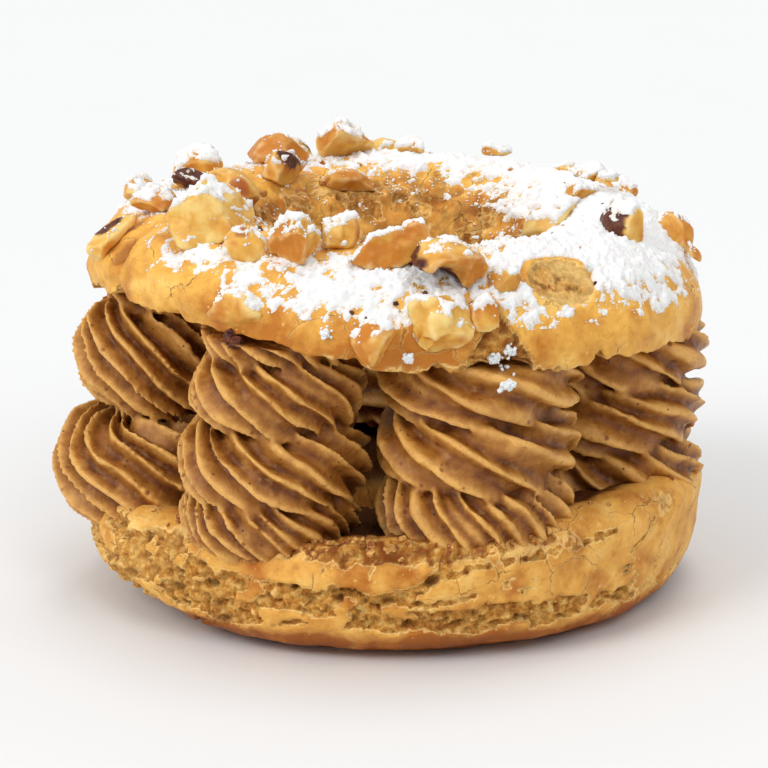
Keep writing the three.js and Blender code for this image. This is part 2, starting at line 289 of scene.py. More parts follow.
class Shader(Nodes):
    """A Principled material, with noises, masks and relief."""

    def __init__(self, name, rough=0.5, specular=0.5, soft=None):
        """Soft is how much light goes in, how far in mm, and how far of it red, green and blue."""
        self.material = bpy.data.materials.new(name)
        self.material.use_nodes = True
        super().__init__(self.material.node_tree)
        self.surface = self.tree.nodes["Principled BSDF"]
        self.connect(Roughness=rough, Specular_IOR_Level=specular)
        if soft:
            weight, reach, colours = soft
            reach = reach * MM
            self.connect(Subsurface_Weight=weight, Subsurface_Scale=reach, Subsurface_Radius=colours)
        self.place = self.add("ShaderNodeTexCoord").outputs["Object"]

    def connect(self, **sockets):
        for name, value in sockets.items():
            self.put(value, self.surface.inputs[name.replace("_", " ")])
        return self.material

    def attribute(self, name):
        return self.add("ShaderNodeAttribute", attribute_name=name).outputs["Fac"]

    def vector(self, operation, first, second):
        return self.add("ShaderNodeVectorMath", {0: first, 1: second}, operation=operation).outputs[0]

    def plus(self, first, second):
        return self.add("ShaderNodeMath", {0: first, 1: second}, operation="ADD").outputs[0]

    def times(self, first, second):
        return self.add("ShaderNodeMath", {0: first, 1: second}, operation="MULTIPLY").outputs[0]

    def noise(self, size, detail=3.0, rough=0.55, stretch=None, output="Fac"):
        """Noise with features of the given size in mm."""
        place = self.vector("MULTIPLY", self.place, stretch) if stretch else self.place
        inputs = {"Vector": place, "Scale": 1 / (size * MM), "Detail": detail, "Roughness": rough}
        return self.add("ShaderNodeTexNoise", inputs).outputs[output]

    def spots(self, size, outer, inner):
        """Scattered round spots, one in each cell of the given size in mm."""
        inputs = {"Vector": self.place, "Scale": 1 / (size * MM)}
        away = self.add("ShaderNodeTexVoronoi", inputs).outputs["Distance"]
        return self.remap(away, outer, inner)

    def patches(self, low, high, *noise):
        """Soft-edged patches, where a noise rises from low to high."""
        return self.remap(self.noise(*noise), low, high)

    def cracks(self, size, width, lip):
        """Thin broken cracks between cells of the given size in mm, and the wider lines beside them."""
        swirl = self.noise(size * 0.45, 4.0, 0.6, output="Color")
        bend = self.vector("MULTIPLY", swirl, (size * 0.5 * MM,) * 3)
        inputs = {"Vector": self.vector("ADD", self.place, bend), "Scale": 1 / (size * MM)}
        cells = self.add("ShaderNodeTexVoronoi", inputs, feature="DISTANCE_TO_EDGE")
        some = self.patches(0.5, 0.6, 9.0, 2.0)
        spans = ((width, width * 0.4), (lip, width))
        return [self.times(self.remap(cells.outputs["Distance"], *span), some) for span in spans]

    def mix(self, share, first, second):
        """Colours mixed by share; each is a socket or an RGB triple."""
        node = self.add("ShaderNodeMix", data_type="RGBA")
        for key, value in {0: share, 6: first, 7: second}.items():
            self.put(value, node.inputs[key])
        return node.outputs[2]

    def tint(self, under, colour, mask, strength):
        """A colour laid over another where a mask says, up to the given strength."""
        return self.mix(self.times(mask, strength), under, colour)

    def bump(self, height, depth, strength=1.0, below=None):
        """Relief of the given depth in mm, on top of the relief below."""
        inputs = {"Height": height, "Distance": depth * MM, "Strength": strength}
        if below is not None:
            inputs["Normal"] = below
        return self.add("ShaderNodeBump", inputs).outputs["Normal"]


def rgb(red, green, blue):
    """Linear colour of an 8-bit screen colour."""
    shares = [c / 255 for c in (red, green, blue)]
    return tuple(c / 12.92 if c <= 0.04045 else ((c + 0.055) / 1.055) ** 2.4 for c in shares)


BLACK, WHITE = (0, 0, 0), (1, 1, 1)


def crust_material(name, pale, golden, toasted, rough):
    """Baked choux: a mottled crust, with open crumb and pale torn edges where painted, and painted
    shade in pores, cracks and hollows.
    """
    s = Shader(name, specular=0.2, soft=(0.08, 1.5, (1.0, 0.5, 0.2)))
    # The toast value also carries painted shade on the base's front.
    mottle = s.plus(s.noise(5.0, 6.0, 0.6), s.times(s.attribute("toast"), 0.4))
    crust = s.ramp(mottle, (0.24, pale), (0.48, golden), (0.8, toasted))
    crust = s.tint(crust, toasted, s.patches(0.54, 0.7, 0.9, 4.0, 0.65), 0.4)
    crust = s.tint(crust, pale, s.spots(2.2, 0.12, 0.08), 0.5)
    crumb = s.ramp(
        s.noise(1.3, 5.0, 0.7),
        (0.34, rgb(156, 88, 28)),
        (0.5, rgb(212, 150, 66)),
        (0.66, rgb(244, 202, 120)),
    )
    # The border between crust and crumb is broken up finely, with a thin pale lip.
    border = s.plus(s.attribute("crumb"), s.remap(s.noise(0.9, 4.0), 0.3, 0.7, -0.22, 0.22))
    opened = s.remap(border, 0.44, 0.56)
    lip = s.ramp(border, (0.2, BLACK), (0.36, WHITE), (0.44, WHITE), (0.52, BLACK))
    # The cracks are painted dark, as painted shadow in them; the lines beside them are the crust's pale
    # edges.
    cracks, lines = s.cracks(6.5, 0.014, 0.06)
    crust = s.tint(crust, pale, lines, 0.35)
    crust = s.tint(crust, rgb(150, 84, 30), cracks, 0.75)
    colour = s.mix(opened, crust, crumb)
    colour = s.tint(colour, rgb(250, 212, 136), lip, 0.7)
    colour = s.tint(colour, rgb(244, 208, 134), s.attribute("rim"), 0.6)
    # Painted shade: dark brown where pores, hollows and shaded faces are marked.
    colour = s.mix(s.attribute("hole"), colour, rgb(94, 52, 20))
    colour = s.mix(s.attribute("burnt"), colour, rgb(144, 76, 28))
    grain = s.bump(s.noise(0.28, 3.0, 0.6), 0.10, 0.5)
    wrinkles = s.bump(s.noise(1.6, 5.0, 0.65), 0.5, 0.8, grain)
    step = s.bump(s.plus(opened, cracks), -0.22, 0.8, wrinkles)
    pits = s.times(s.noise(0.55, 4.0, 0.7), opened)
    roughness = s.remap(s.attribute("crumb"), 0.0, 1.0, rough, 0.9)
    return s.connect(Base_Color=colour, Normal=s.bump(pits, 0.5, 0.8, step), Roughness=roughness)


def cream_material():
    """Praline cream: painted highlights on the ridges and painted shade in the furrows, with dark and
    red-brown nut specks.
    """
    s = Shader("praline_cream", specular=0.3, soft=(0.12, 1.5, (1.0, 0.55, 0.25)))
    ridge = s.plus(s.attribute("ridge"), s.remap(s.noise(2.4, 4.0), 0.3, 0.7, -0.2, 0.2))
    # Painted shade down in the furrows and painted highlights up on the crests.
    colour = s.ramp(
        ridge,
        (0.0, rgb(104, 54, 14)),
        (0.18, rgb(140, 84, 30)),
        (0.5, rgb(180, 122, 54)),
        (0.9, rgb(226, 172, 92)),
    )
    colour = s.tint(colour, rgb(150, 86, 30), s.patches(0.48, 0.72, 6.0, 3.0), 0.4)
    colour = s.tint(colour, rgb(120, 68, 26), s.patches(0.58, 0.7, 0.35, 2.0), 0.35)
    colour = s.tint(colour, rgb(226, 176, 98), s.patches(0.54, 0.72, 1.4, 4.0, 0.65), 0.3)
    flecks = s.times(s.spots(2.4, 0.2, 0.13), s.patches(0.46, 0.52, 2.0))
    colour = s.tint(colour, rgb(122, 52, 26), flecks, 0.7)
    dots = s.spots(2.3, 0.085, 0.06)
    colour = s.tint(colour, rgb(36, 22, 14), dots, 0.9)
    grain = s.bump(s.noise(0.8, 5.0, 0.65), 0.3, 0.6)
    normal = s.bump(s.plus(dots, flecks), 0.10, 0.5, grain)
    gloss = s.remap(s.noise(1.3, 3.0), 0.35, 0.65, 0.26, 0.5)
    return s.connect(Base_Color=colour, Normal=normal, Roughness=gloss)


def nut_material():
    """Toasted hazelnut: creamy cut faces, tan rounds, toasted edges, painted highlights along the sharp
    edges, and dark skin.
    """
    s = Shader("hazelnut", 0.42, 0.28, (0.25, 2.0, (1.0, 0.6, 0.25)))
    tone = s.plus(s.noise(3.2, 3.0), s.times(s.attribute("tone"), 0.4))
    colour = s.ramp(
        tone,
        (0.40, rgb(234, 200, 120)),
        (0.60, rgb(224, 170, 76)),
        (0.88, rgb(198, 122, 34)),
    )
    streaks = s.patches(0.54, 0.7, 1.1, 3.0, 0.55, (1.0, 1.0, 0.35))
    colour = s.tint(colour, rgb(216, 154, 76), streaks, 0.35)
    # Painted highlight along the sharp edges.
    edge = s.times(s.attribute("edge"), s.patches(0.35, 0.65, 1.6))
    colour = s.tint(colour, rgb(252, 228, 170), edge, 0.55)
    colour = s.mix(s.attribute("toast"), colour, rgb(170, 84, 34))
    husk = s.mix(s.patches(0.35, 0.65, 0.7, 3.0), rgb(62, 26, 16), rgb(112, 56, 32))
    colour = s.mix(s.attribute("skin"), colour, husk)
    return s.connect(Base_Color=colour, Normal=s.bump(s.noise(0.6, 4.0, 0.6), 0.16, 0.6))


def sugar_material():
    """Icing sugar: matt white grains with specks of painted shade between them, thinning at the edges
    to let the crust show.
    """
    s = Shader("icing_sugar", 0.95, 0.2, (0.12, 1.0, (1.0, 0.2, 0.1)))
    thin = s.times(s.attribute("thin"), s.patches(0.42, 0.58, 0.45, 3.0))
    # Tan specks of painted shade between the grains.
    colour = s.tint((0.91, 0.91, 0.91), rgb(206, 180, 150), s.patches(0.68, 0.76, 0.5, 2.0), 0.4)
    colour = s.tint(colour, rgb(218, 184, 134), thin, 0.7)
    return s.connect(Base_Color=colour, Normal=s.bump(s.noise(0.42, 4.0, 0.7), 0.28, 0.75))


def crumb_material(name, dark, light):
    s = Shader(name, 0.8)
    colour = s.ramp(s.noise(0.9, 3.0), (0.4, dark), (0.62, light))
    return s.connect(Base_Color=colour, Normal=s.bump(s.noise(0.3, 3.0), 0.1, 0.6))


# ---------------------------------------------------------------- choux rings
def lid_tilt():
    """Rotation from the lid's own level frame to the pastry's, from the lid's flattest way."""
    points = read_points(cad_mesh("lid_choux"))
    _, ways = np.linalg.eigh(np.cov((points - points.mean(axis=0)).T))
    up = ways[:, 0] * np.sign(ways[2, 0])
    across = np.array([up[2], 0.0, -up[0]])
    across /= np.linalg.norm(across)
    return np.stack([across, np.cross(up, across), up], axis=1)


def blurred(grid, sigma, axis):
    """The grid softened along an axis that closes on itself."""
    reach = int(3 * sigma)
    steps = np.arange(-reach, reach + 1)
    weights = np.exp(-0.5 * (steps / sigma) ** 2)
    weights /= weights.sum()
    return sum(w * np.roll(grid, int(k), axis=axis) for w, k in zip(weights, steps))


RING_COLUMNS = 660  # points round each choux half
CROWDING = 0.25  # how much closer together they stand at the front
FACET_COLUMNS = 7.0  # how many columns one facet of the solid takes up
FACET_ROWS = 1.2


class Ring:
    """A fine skin round a ring: rays from a circle inside it find the solid's surface."""

    def __init__(self, tree, core_radius, core_height, turns, columns, tilt=np.eye(3)):
        self.tilt = tilt
        self.origin = CENTRE + np.array([0, 0, core_height])
        self.core_radius = core_radius
        self.turns = turns
        even = np.arange(columns) * 2 * math.pi / columns
        self.angles = even - CROWDING * np.cos(even)
        self.reach = np.zeros((columns, len(turns)))
        for i, angle in enumerate(self.angles):
            out = outward(angle)
            start = Vector(self.origin + tilt @ (core_radius * out))
            for j, turn in enumerate(turns):
                way = tilt @ (math.cos(turn) * out + np.array([0, 0, math.sin(turn)]))
                self.reach[i, j] = tree.ray_cast(start, Vector(way))[3]

    def soften(self):
        """Rounds the solid's facets and corners."""
        self.reach = blurred(blurred(self.reach, FACET_COLUMNS, 0), FACET_ROWS, 1)
        return self

    def lay(self):
        """Points in the ring's own frame, as a grid of columns by rows, and their normals."""
        angle = self.angles[:, None]
        radius = self.core_radius + self.reach * np.cos(self.turns)
        height = self.reach * np.sin(self.turns)
        local = np.stack([radius * np.cos(angle), radius * np.sin(angle), height], axis=2)
        along = np.roll(local, -1, 0) - np.roll(local, 1, 0)
        across = np.roll(local, -1, 1) - np.roll(local, 1, 1)
        normals = np.cross(along, across)
        normals /= np.linalg.norm(normals, axis=2, keepdims=True)
        self.local = local.reshape(-1, 3)
        self.normals = normals.reshape(-1, 3)
        self.angle = np.repeat(np.degrees(self.angles), len(self.turns))
        self.turn = np.tile(np.degrees(self.turns), len(self.angles))
        self.world = self.local @ self.tilt.T + self.origin
        return self

    def quads(self):
        """Quads between the points, round the ring and round its section."""
        columns, rows = len(self.angles), len(self.turns)
        i, j = np.meshgrid(np.arange(columns), np.arange(rows), indexing="ij")
        i, j = i.ravel(), j.ravel()
        right, up = (i + 1) % columns, (j + 1) % rows
        corners = [i * rows + j, right * rows + j, right * rows + up, i * rows + up]
        return np.stack(corners, axis=1)

    def build(self, name, shift):
        """A closed mesh of the grid, moved by shift, given in the ring's own frame."""
        return make_mesh(name, self.world + shift @ self.tilt.T, self.quads())


def uneven_turns(*spans):
    """Angles round a section: each span is (start, end, steps) in degrees."""
    parts = [np.linspace(start, end, steps, endpoint=False) for start, end, steps in spans]
    return np.radians(np.concatenate(parts))


def wrapped(angle):
    """The angle in degrees, brought between -180 and 180."""
    return (angle + 180) % 360 - 180


def near_line(angle, height, line, radius):
    """Distance in mm, over the unrolled side, to a line of (angle, height) points."""
    u = np.radians(wrapped(angle - line[0][0])) * radius
    best = np.full(len(angle), 99.0)
    for (a0, h0), (a1, h1) in zip(line, line[1:]):
        x0 = math.radians(a0 - line[0][0]) * radius
        x1 = math.radians(a1 - line[0][0]) * radius
        run, rise = x1 - x0, h1 - h0
        share = np.clip(((u - x0) * run + (height - h0) * rise) / (run**2 + rise**2), 0, 1)
        best = np.minimum(best, np.hypot(u - x0 - share * run, height - h0 - share * rise))
    return best


def edges_of(mask):
    """1 along the border of a soft mask, 0 inside and outside it."""
    return 4 * mask * (1 - mask)


# The base: rows are (angle, lower height, upper height) of the burst, porous band.
BURST_BAND = [
    (-180, 2.0, 14.0),
    (-150, 1.2, 17.0),
    (-135, 1.8, 16.6),
    (-125, 3.2, 14.4),
    (-115, 6.0, 13.0),
    (-104, 6.8, 12.6),
    (-97, 6.4, 12.0),
    (-90, 5.6, 9.4),
    (-80, 4.4, 8.8),
    (-70, 3.8, 9.6),
    (-62, 4.6, 9.2),
    (-52, 5.4, 8.6),
    (-35, 4.0, 7.4),
    (-10, 3.0, 6.4),
    (30, 4.0, 8.6),
    (75, 3.0, 10.0),
    (120, 5.0, 11.5),
    (150, 3.6, 8.0),
    (180, 2.0, 14.0),
]
# Cracks between the plates of crust: (width, points of angle and height).
BASE_CRACKS = [
    (1.5, [(-101, 12.6), (-93, 11.0), (-86, 12.6), (-82, 15.2), (-80, 18.5)]),
    (0.55, [(-84, 14.0), (-76, 15.8), (-68, 16.4), (-60, 17.0)]),
    (0.35, [(-57, 16.6), (-51, 17.8), (-46, 17.9)]),
    (0.3, [(-42, 13.0), (-38, 15.8), (-35, 17.6)]),
    (0.8, [(-92, 11.2), (-84, 10.2), (-76, 11.4)]),
    (1.0, [(20, 9.0), (34, 12.5), (44, 16.0)]),
    (0.6, [(34, 12.4), (52, 11.0), (66, 13.4)]),
    (1.3, [(88, 11.0), (101, 14.2), (110, 14.0), (122, 16.0)]),
    (0.5, [(128, 9.0), (140, 12.8), (158, 13.6)]),
    (0.7, [(168, 10.0), (176, 13.6), (190, 14.6)]),
]


def base_burst(soft, angle, wobble, ragged):
    """The burst, porous band round the base, with islands of crust left in it."""
    band = np.array(BURST_BAND, float)
    low, high = (np.interp(wrapped(angle), band[:, 0], band[:, k]) for k in (1, 2))
    low = low + 0.8 * wobble + 0.3 * ragged
    high = high + 0.9 * wobble + 0.45 * ragged
    burst = smoothstep(-0.15, 0.2, soft[:, 2] - low) * smoothstep(-0.15, 0.2, high - soft[:, 2])
    islands = smoothstep(0.3, 0.38, perlin(soft * [1, 1, 1.7], 5, 15) + 0.15 * ragged)
    fading = 1 - 0.75 * smoothstep(-52, -30, wrapped(angle)) * smoothstep(20, -5, wrapped(angle))
    return burst * (1 - islands) * np.clip(fading + 0.8 * ragged, 0, 1)


def base_cracks(soft, angle, wobble, ragged):
    """The cracks between the plates of crust, and fine slanting veins."""
    height = soft[:, 2]
    crack = np.zeros(len(soft))
    for width, line in BASE_CRACKS:
        away = near_line(angle, height, line, RING_RADIUS) + 0.45 * ragged + 0.3 * wobble
        crack = np.maximum(crack, smoothstep(0.28, -0.1, away - width / 2))
    slant = np.radians(angle) * RING_RADIUS + 1.4 * height
    turned = np.stack([slant / 3, height, np.sin(np.radians(angle)) * 9], axis=1)
    veins = smoothstep(0.04, 0.0, np.abs(perlin(turned, 3.4, 21)))
    veins *= smoothstep(0.1, 0.4, perlin(soft, 12, 22)) * smoothstep(7, 10, height)
    return np.maximum(crack, 0.8 * veins)


BASE_CORE = (31.0, 8.6)  # radius and height of the circle inside the base


def make_base(material):
    turns = uneven_turns((-80, 70, 96), (70, 200, 18), (200, 280, 12))
    ring = Ring(tree_of(cad_mesh("base_choux")), *BASE_CORE, turns, RING_COLUMNS).soften().lay()
    angle = ring.angle
    radius = np.hypot(*ring.local[:, :2].T)
    side = smoothstep(36, 41, radius)

    # The crust swells past the solid's corner and rolls over its top.
    corner = bell((ring.turn - 33) / 17)
    belly = bell((ring.turn - 5) / 24)
    left = bell(wrapped(angle - 190) / 34)
    swell = 1.9 * corner + (0.5 + 1.5 * left) * belly
    soft = ring.world + ring.normals * swell[:, None]
    height = soft[:, 2]
    lumps = 0.5 * fbm(soft, 16, 3) + 0.22 * fbm(soft, 5, 4)
    wobble = fbm(soft, 7, 11, 4)
    ragged = fbm(soft, 1.8, 12, 3)

    burst = base_burst(soft, angle, wobble, ragged) * side
    crack = base_cracks(soft, angle, wobble, ragged) * side
    torn_edge = edges_of(np.maximum(burst, crack)) * side
    top_face = smoothstep(39.5, 37.5, radius + 0.8 * ragged) * smoothstep(10, 13, height)
    front = bell(wrapped(angle + 92) / 26) + 0.35 * smoothstep(0.1, 0.5, wobble)
    cut_rim = smoothstep(16.0, 17.4, height + 0.9 * ragged + 0.5 * wobble) * side
    cut_rim = np.clip(cut_rim * front, 0, 0.9)
    crumb = np.maximum.reduce([burst, crack, top_face, cut_rim])

    unrolled = np.stack([np.radians(angle) * RING_RADIUS, 1.7 * height, 1.7 * radius], axis=1)
    unrolled += 0.5 * wobble[:, None]
    big = smoothstep(0.5, 0.16, bubbles(unrolled, 4.2, 41))
    small = smoothstep(0.5, 0.2, bubbles(unrolled, 2.0, 42))
    fibres = np.abs(perlin(unrolled, 2.6, 43))
    push = swell + lumps * np.clip(side + 0.3, 0, 1)
    push -= 0.95 * burst + 0.45 * crack
    push -= crumb * (1.1 * big + 0.5 * small + 0.6 * fibres)
    push += 0.25 * torn_edge
    push += 0.05 * fbm(soft, 1.2, 44, 2)
    fine_pits = smoothstep(0.3, 0.12, bubbles(soft, 1.7, 45)) * side * (1 - crumb)
    push -= 0.14 * fine_pits * smoothstep(9, 5, height)
    push *= smoothstep(0.0, 0.7, ring.world[:, 2])
    # At the left the base curls in under itself.
    tucked = 4.5 * bell(wrapped(angle + 165) / 26) * smoothstep(7.5, 0.5, height) * side
    inward = -ring.local * [1, 1, 0] / radius[:, None]
    piece = ring.build("base_choux_skin", ring.normals * push[:, None] + inward * tucked[:, None])
    grounded = read_points(piece.data)
    grounded[:, 2] = np.maximum(grounded[:, 2], 0.0)
    write_points(piece.data, grounded)

    paler = 0.55 * left * crumb * smoothstep(-0.4, 0.3, ragged + wobble)
    # Painted shade in the pores of the crumb, lighter at the left.
    hole = (0.8 - 0.35 * left) * crumb * np.maximum(big, 0.55 * small) ** 1.4
    # Painted shade on the base's top face, where it shows in the gaps between the swirls.
    shaded_top = smoothstep(43, 40.5, radius + 0.6 * ragged) * smoothstep(9, 12, height)
    lip = smoothstep(5.5, 1.5, height) * side
    scorched = lip * smoothstep(-0.5, 0.1, wobble)
    # Painted shade: the front of the base is made darker, carried in the toast value.
    front_shade = bell(wrapped(angle + 92) / 34) * smoothstep(0, 0.7, wobble + 0.3)
    paint(
        piece.data,
        crumb=crumb,
        rim=np.maximum(torn_edge * (0.25 + 0.4 * ragged), paler),
        hole=np.maximum(hole, shaded_top),
        toast=1.3 * lip + 0.25 * smoothstep(0, 0.6, wobble) + 0.5 * front_shade,
        burnt=np.maximum(cut_rim * smoothstep(-0.1, 0.4, ragged), scorched),
    )
    finish_piece(piece, "base_crust", material, "base_choux")
    return piece


# Torn places in the lid's side: (angle, half width in degrees, lower and upper height).
LID_TEARS = [
    (-71.5, 6.0, 0.0, 8.6),
    (-51, 3.4, -1.0, 2.6),
    (-43, 2.2, -1.0, 1.6),
    (-123, 3.0, -1.0, 1.4),
    (-152, 4.0, -1.0, 3.2),
    (-137, 3.0, -1.0, 2.0),
    (24, 5.0, -1.0, 4.0),
    (78, 4.0, -1.0, 5.5),
    (139, 5.0, -1.0, 3.4),
]
CRATER = {"angle": -55.0, "radius": 41.6, "along": 6.0, "across": 3.8}


def crater_oval(away):
    """Distance from the middle of the burst blister, 1 at its rim; away is from the ring's centre."""
    turn = math.radians(CRATER["angle"])
    out = away[:, 0] * math.cos(turn) + away[:, 1] * math.sin(turn) - CRATER["radius"]
    along = -away[:, 0] * math.sin(turn) + away[:, 1] * math.cos(turn)
    return np.hypot(along / CRATER["along"], out / CRATER["across"])


def sharpen_edge(ring):
    """Brings the rounded lower corner of the lid's side out to a cut edge."""
    rows = len(ring.turns)
    local = ring.local.reshape(-1, rows, 3)
    radius = np.hypot(local[:, :, 0], local[:, :, 1])
    above = local[:, :, 2] - local[:, :, 2].min(axis=1, keepdims=True)
    wall = np.where((above > 2.4) & (above < 4.5) & (radius > 40), radius, 0).max(axis=1)
    wall = blurred(np.maximum(wall, 44.0), 4.0, 0)[:, None] - 0.5 + 0.12 * above
    share = smoothstep(41.5, 44.5, radius) * smoothstep(3.2, 1.6, above)
    longer = 1 + share * np.maximum(wall - radius, 0) / radius
    local[:, :, :2] *= longer[:, :, None]
    ring.local = local.reshape(-1, 3)
    ring.world = ring.local @ ring.tilt.T + ring.origin


def lid_tears(above, angle, wobble, ragged):
    """The torn places, each narrowing upwards."""
    tear = np.zeros(len(above))
    for place, half, low, high in LID_TEARS:
        aside = np.abs(wrapped(angle - place)) / half
        top = low + (high - low) * (1 - 0.75 * aside)
        inside = np.minimum(top - above, (1.1 - aside) * 3) + 0.6 * ragged + 0.5 * wobble
        tear = np.maximum(tear, smoothstep(-0.15, 0.3, inside))
    return tear


LID_CORE = (33.5, (LID_LOW[2] + LID_HIGH[2]) / 2 - 1.0)  # the circle inside the lid
LID_SIDE = 46  # radius of the lid's side
LID_HOLE = (-155, 7.5)  # a small torn hole in the lid's side: its angle and height


def make_lid(material, tilt):
    turns = uneven_turns((-38, 205, 104), (205, 322, 10))
    ring = Ring(tree_of(cad_mesh("lid_choux")), *LID_CORE, turns, RING_COLUMNS, tilt).soften().lay()
    sharpen_edge(ring)
    local, points, angle = ring.local, ring.world, ring.angle
    radius = np.hypot(local[:, 0], local[:, 1])
    above = local[:, 2] - local[:, 2].reshape(RING_COLUMNS, -1).min(axis=1).repeat(len(turns))
    left_front = bell(wrapped(angle + 142) / 30)
    outer = smoothstep(34, 40, radius)
    wobble = fbm(points, 7, 61, 3)
    ragged = fbm(points, 1.6, 62, 3)

    tear = lid_tears(above, angle, wobble, ragged) * outer
    oval = crater_oval(local) + 0.12 * wobble + 0.06 * ragged
    on_top = smoothstep(2.5, 3.5, above) * (radius > 33)
    crater = smoothstep(1.0, 0.88, oval) * on_top
    crater_rim = bell((oval - 1.0) / 0.07) * on_top
    under = smoothstep(0.9, 0.4, above) * smoothstep(46.6, 45.8, radius)
    cut = smoothstep(1.2, 0.3, above + 0.6 * ragged + 0.4 * wobble) * outer
    inner = smoothstep(25.5, 22.5, radius) * smoothstep(0.5, 2, above)
    scabs = inner * smoothstep(-0.15, 0.2, wobble + 0.4 * ragged)
    crumb = np.maximum.reduce([tear, 0.85 * crater, under, 0.75 * cut, 0.6 * scabs])
    pores = smoothstep(0.5, 0.22, bubbles(points, 1.5, 64))
    big = smoothstep(0.42, 0.2, bubbles(points, 3.0, 65))

    push = 0.3 + 0.55 * fbm(points, 15, 66) + 0.2 * fbm(points, 4.5, 67)
    push += left_front * (0.9 * fbm(points, 5.0, 74, 3) - 0.5 * np.abs(perlin(points, 3.0, 75)))
    push -= 1.0 * tear + 0.75 * crater * (1 - 0.5 * np.clip(oval, 0, 1) ** 2)
    push += 0.28 * crater_rim + 0.15 * edges_of(tear)
    push -= crumb * (0.35 * pores + 0.5 * big) * (1 - 0.5 * crater)
    push += inner * (0.6 * fbm(points, 3.6, 68) - 0.35 * big)
    push -= 0.35 * cut * np.clip(ragged + 0.2, 0, 1)
    push += 0.05 * fbm(points, 1.2, 69, 2)
    blisters = smoothstep(0.2, 0.08, bubbles(points, 2.6, 72)) * (1 - crumb)
    push += 0.16 * blisters
    torn_hole = np.hypot(wrapped(angle - LID_HOLE[0]) * 0.8, above - LID_HOLE[1]) + 0.5 * ragged
    push -= 1.3 * smoothstep(2.2, 1.2, torn_hole) * outer
    shift = ring.normals * push[:, None]
    # The cut edge is ragged: its lower border rises and falls along the side.
    walk = np.stack([np.cos(np.radians(angle)), np.sin(np.radians(angle)), 0 * angle], 1) * LID_SIDE
    notch = 1.6 * fbm(walk, 7.0, 70, 3) + 0.5 * fbm(walk, 1.6, 71, 2)
    shift[:, 2] += np.clip(notch + 0.1, -0.7, 2.2) * smoothstep(2.6, 0.2, above) * outer
    piece = ring.build("lid_choux_skin", shift)

    middle = smoothstep(0.85, 0.3, oval + 0.5 * wobble)
    rims = [edges_of(tear), crater * (1 - 0.75 * middle), 0.6 * edges_of(cut)]
    fibres = smoothstep(0.1, 0.5, fbm(points * [1, 1, 2], 1.6, 73, 3)) * crater
    # Painted shade in the pores and in the middle of the burst blister.
    hole = crumb * np.maximum(0.75 * big, 0.5 * pores) * (1 - 0.7 * crater) + 0.6 * fibres * middle
    # Patchy painted shade on the wall round the ring's middle.
    wall = smoothstep(27.5, 24.5, radius) * smoothstep(0.0, 0.35, fbm(points, 2.4, 76, 3) + 0.1)
    brown = smoothstep(9.0, 2.0, above) * outer * (0.15 + 0.85 * bell(wrapped(angle + 96) / 28))
    hot = smoothstep(2.4, 1.4, torn_hole) * outer
    stain = 0.65 * tear * smoothstep(-0.1, 0.3, ragged) + 0.3 * scabs * smoothstep(0.1, 0.5, wobble)
    paint(
        piece.data,
        crumb=crumb,
        rim=np.maximum.reduce(rims),
        hole=np.maximum(hole, 0.4 * wall),
        toast=brown + 0.4 * tear + (0.35 + 0.4 * left_front) * wobble + 0.5 * inner,
        burnt=np.maximum(stain, 0.7 * hot),
    )
    finish_piece(piece, "lid_crust", material, "lid_choux")
    return piece


# ---------------------------------------------------------------- piped cream
# Each swirl: its tiers from the bottom as (height of the middle, radius of the coil, radius
# of the rope, how steeply the ridges run), then the ridges round the rope, where they start,
# how tall the rope's section is, how far the swirl leans and stands to the right, and how fine
# its skin is.
SWIRLS = {
    "cream_swirl_1": {
        "tiers": [(20.8, 8.6, 8.6, 1.6), (38.6, 5.8, 8.6, 1.7), (50.0, 4.0, 6.0, 1.2)],
        "ridges": 12, "phase": 0.2, "tall": 1.12, "lean": 0.05, "voxel": 0.4,
    },
    "cream_swirl_2": {
        "tiers": [(19.6, 8.2, 5.6, 2.0), (28.2, 7.8, 7.0, 1.25), (39.4, 7.2, 6.4, 1.35),
                  (48.2, 7.0, 5.4, 1.7)],
        "ridges": 9, "phase": 1.1, "tall": 1.04, "lean": 0.07, "shift": -1.2, "voxel": 0.38,
    },
    "cream_swirl_3": {
        "tiers": [(21.0, 8.8, 6.6, 2.3), (31.0, 9.2, 6.6, 1.0), (41.0, 9.2, 6.4, 0.75),
                  (49.5, 7.0, 6.0, 0.8)],
        "ridges": 7, "phase": 2.3, "tall": 1.0, "lean": 0.04, "shift": -1.2, "voxel": 0.4,
    },
    "cream_swirl_4": {
        "tiers": [(20.8, 9.0, 6.4, 1.2), (30.4, 9.6, 6.4, 0.9), (40.0, 9.4, 6.4, 0.9),
                  (48.0, 7.0, 6.0, 0.9)],
        "ridges": 8, "phase": 0.7, "tall": 1.0, "voxel": 0.42,
    },
    "cream_swirl_5": {
        "tiers": [(20.0, 8.6, 7.2, 1.4), (32.0, 8.4, 7.0, 1.2), (43.5, 7.0, 6.4, 1.2)],
        "ridges": 9, "phase": 1.9, "tall": 1.1, "voxel": 0.6,
    },
    "cream_swirl_6": {
        "tiers": [(20.5, 8.6, 7.2, 1.3), (32.8, 8.2, 7.2, 1.3), (45.0, 7.0, 6.4, 1.1)],
        "ridges": 9, "phase": 3.1, "tall": 1.1, "voxel": 0.6,
    },
    "cream_swirl_7": {
        "tiers": [(20.4, 8.8, 7.6, 1.5), (33.6, 8.4, 7.4, 1.4), (46.4, 6.6, 6.4, 1.2)],
        "ridges": 9, "phase": 0.9, "tall": 1.1, "voxel": 0.6,
    },
}
ROPE_STEP = 0.4  # mm between sections along the rope
ROPE_POINTS = 150  # points round one section
RIDGE_DEPTH = 0.34  # share of the rope's radius that a furrow takes away
CREAM_DETAIL = 0.47  # share of the skin's triangles that is kept
INTO_LID, INTO_BASE = 0.6, 3.0  # mm that the cream is pressed into the choux


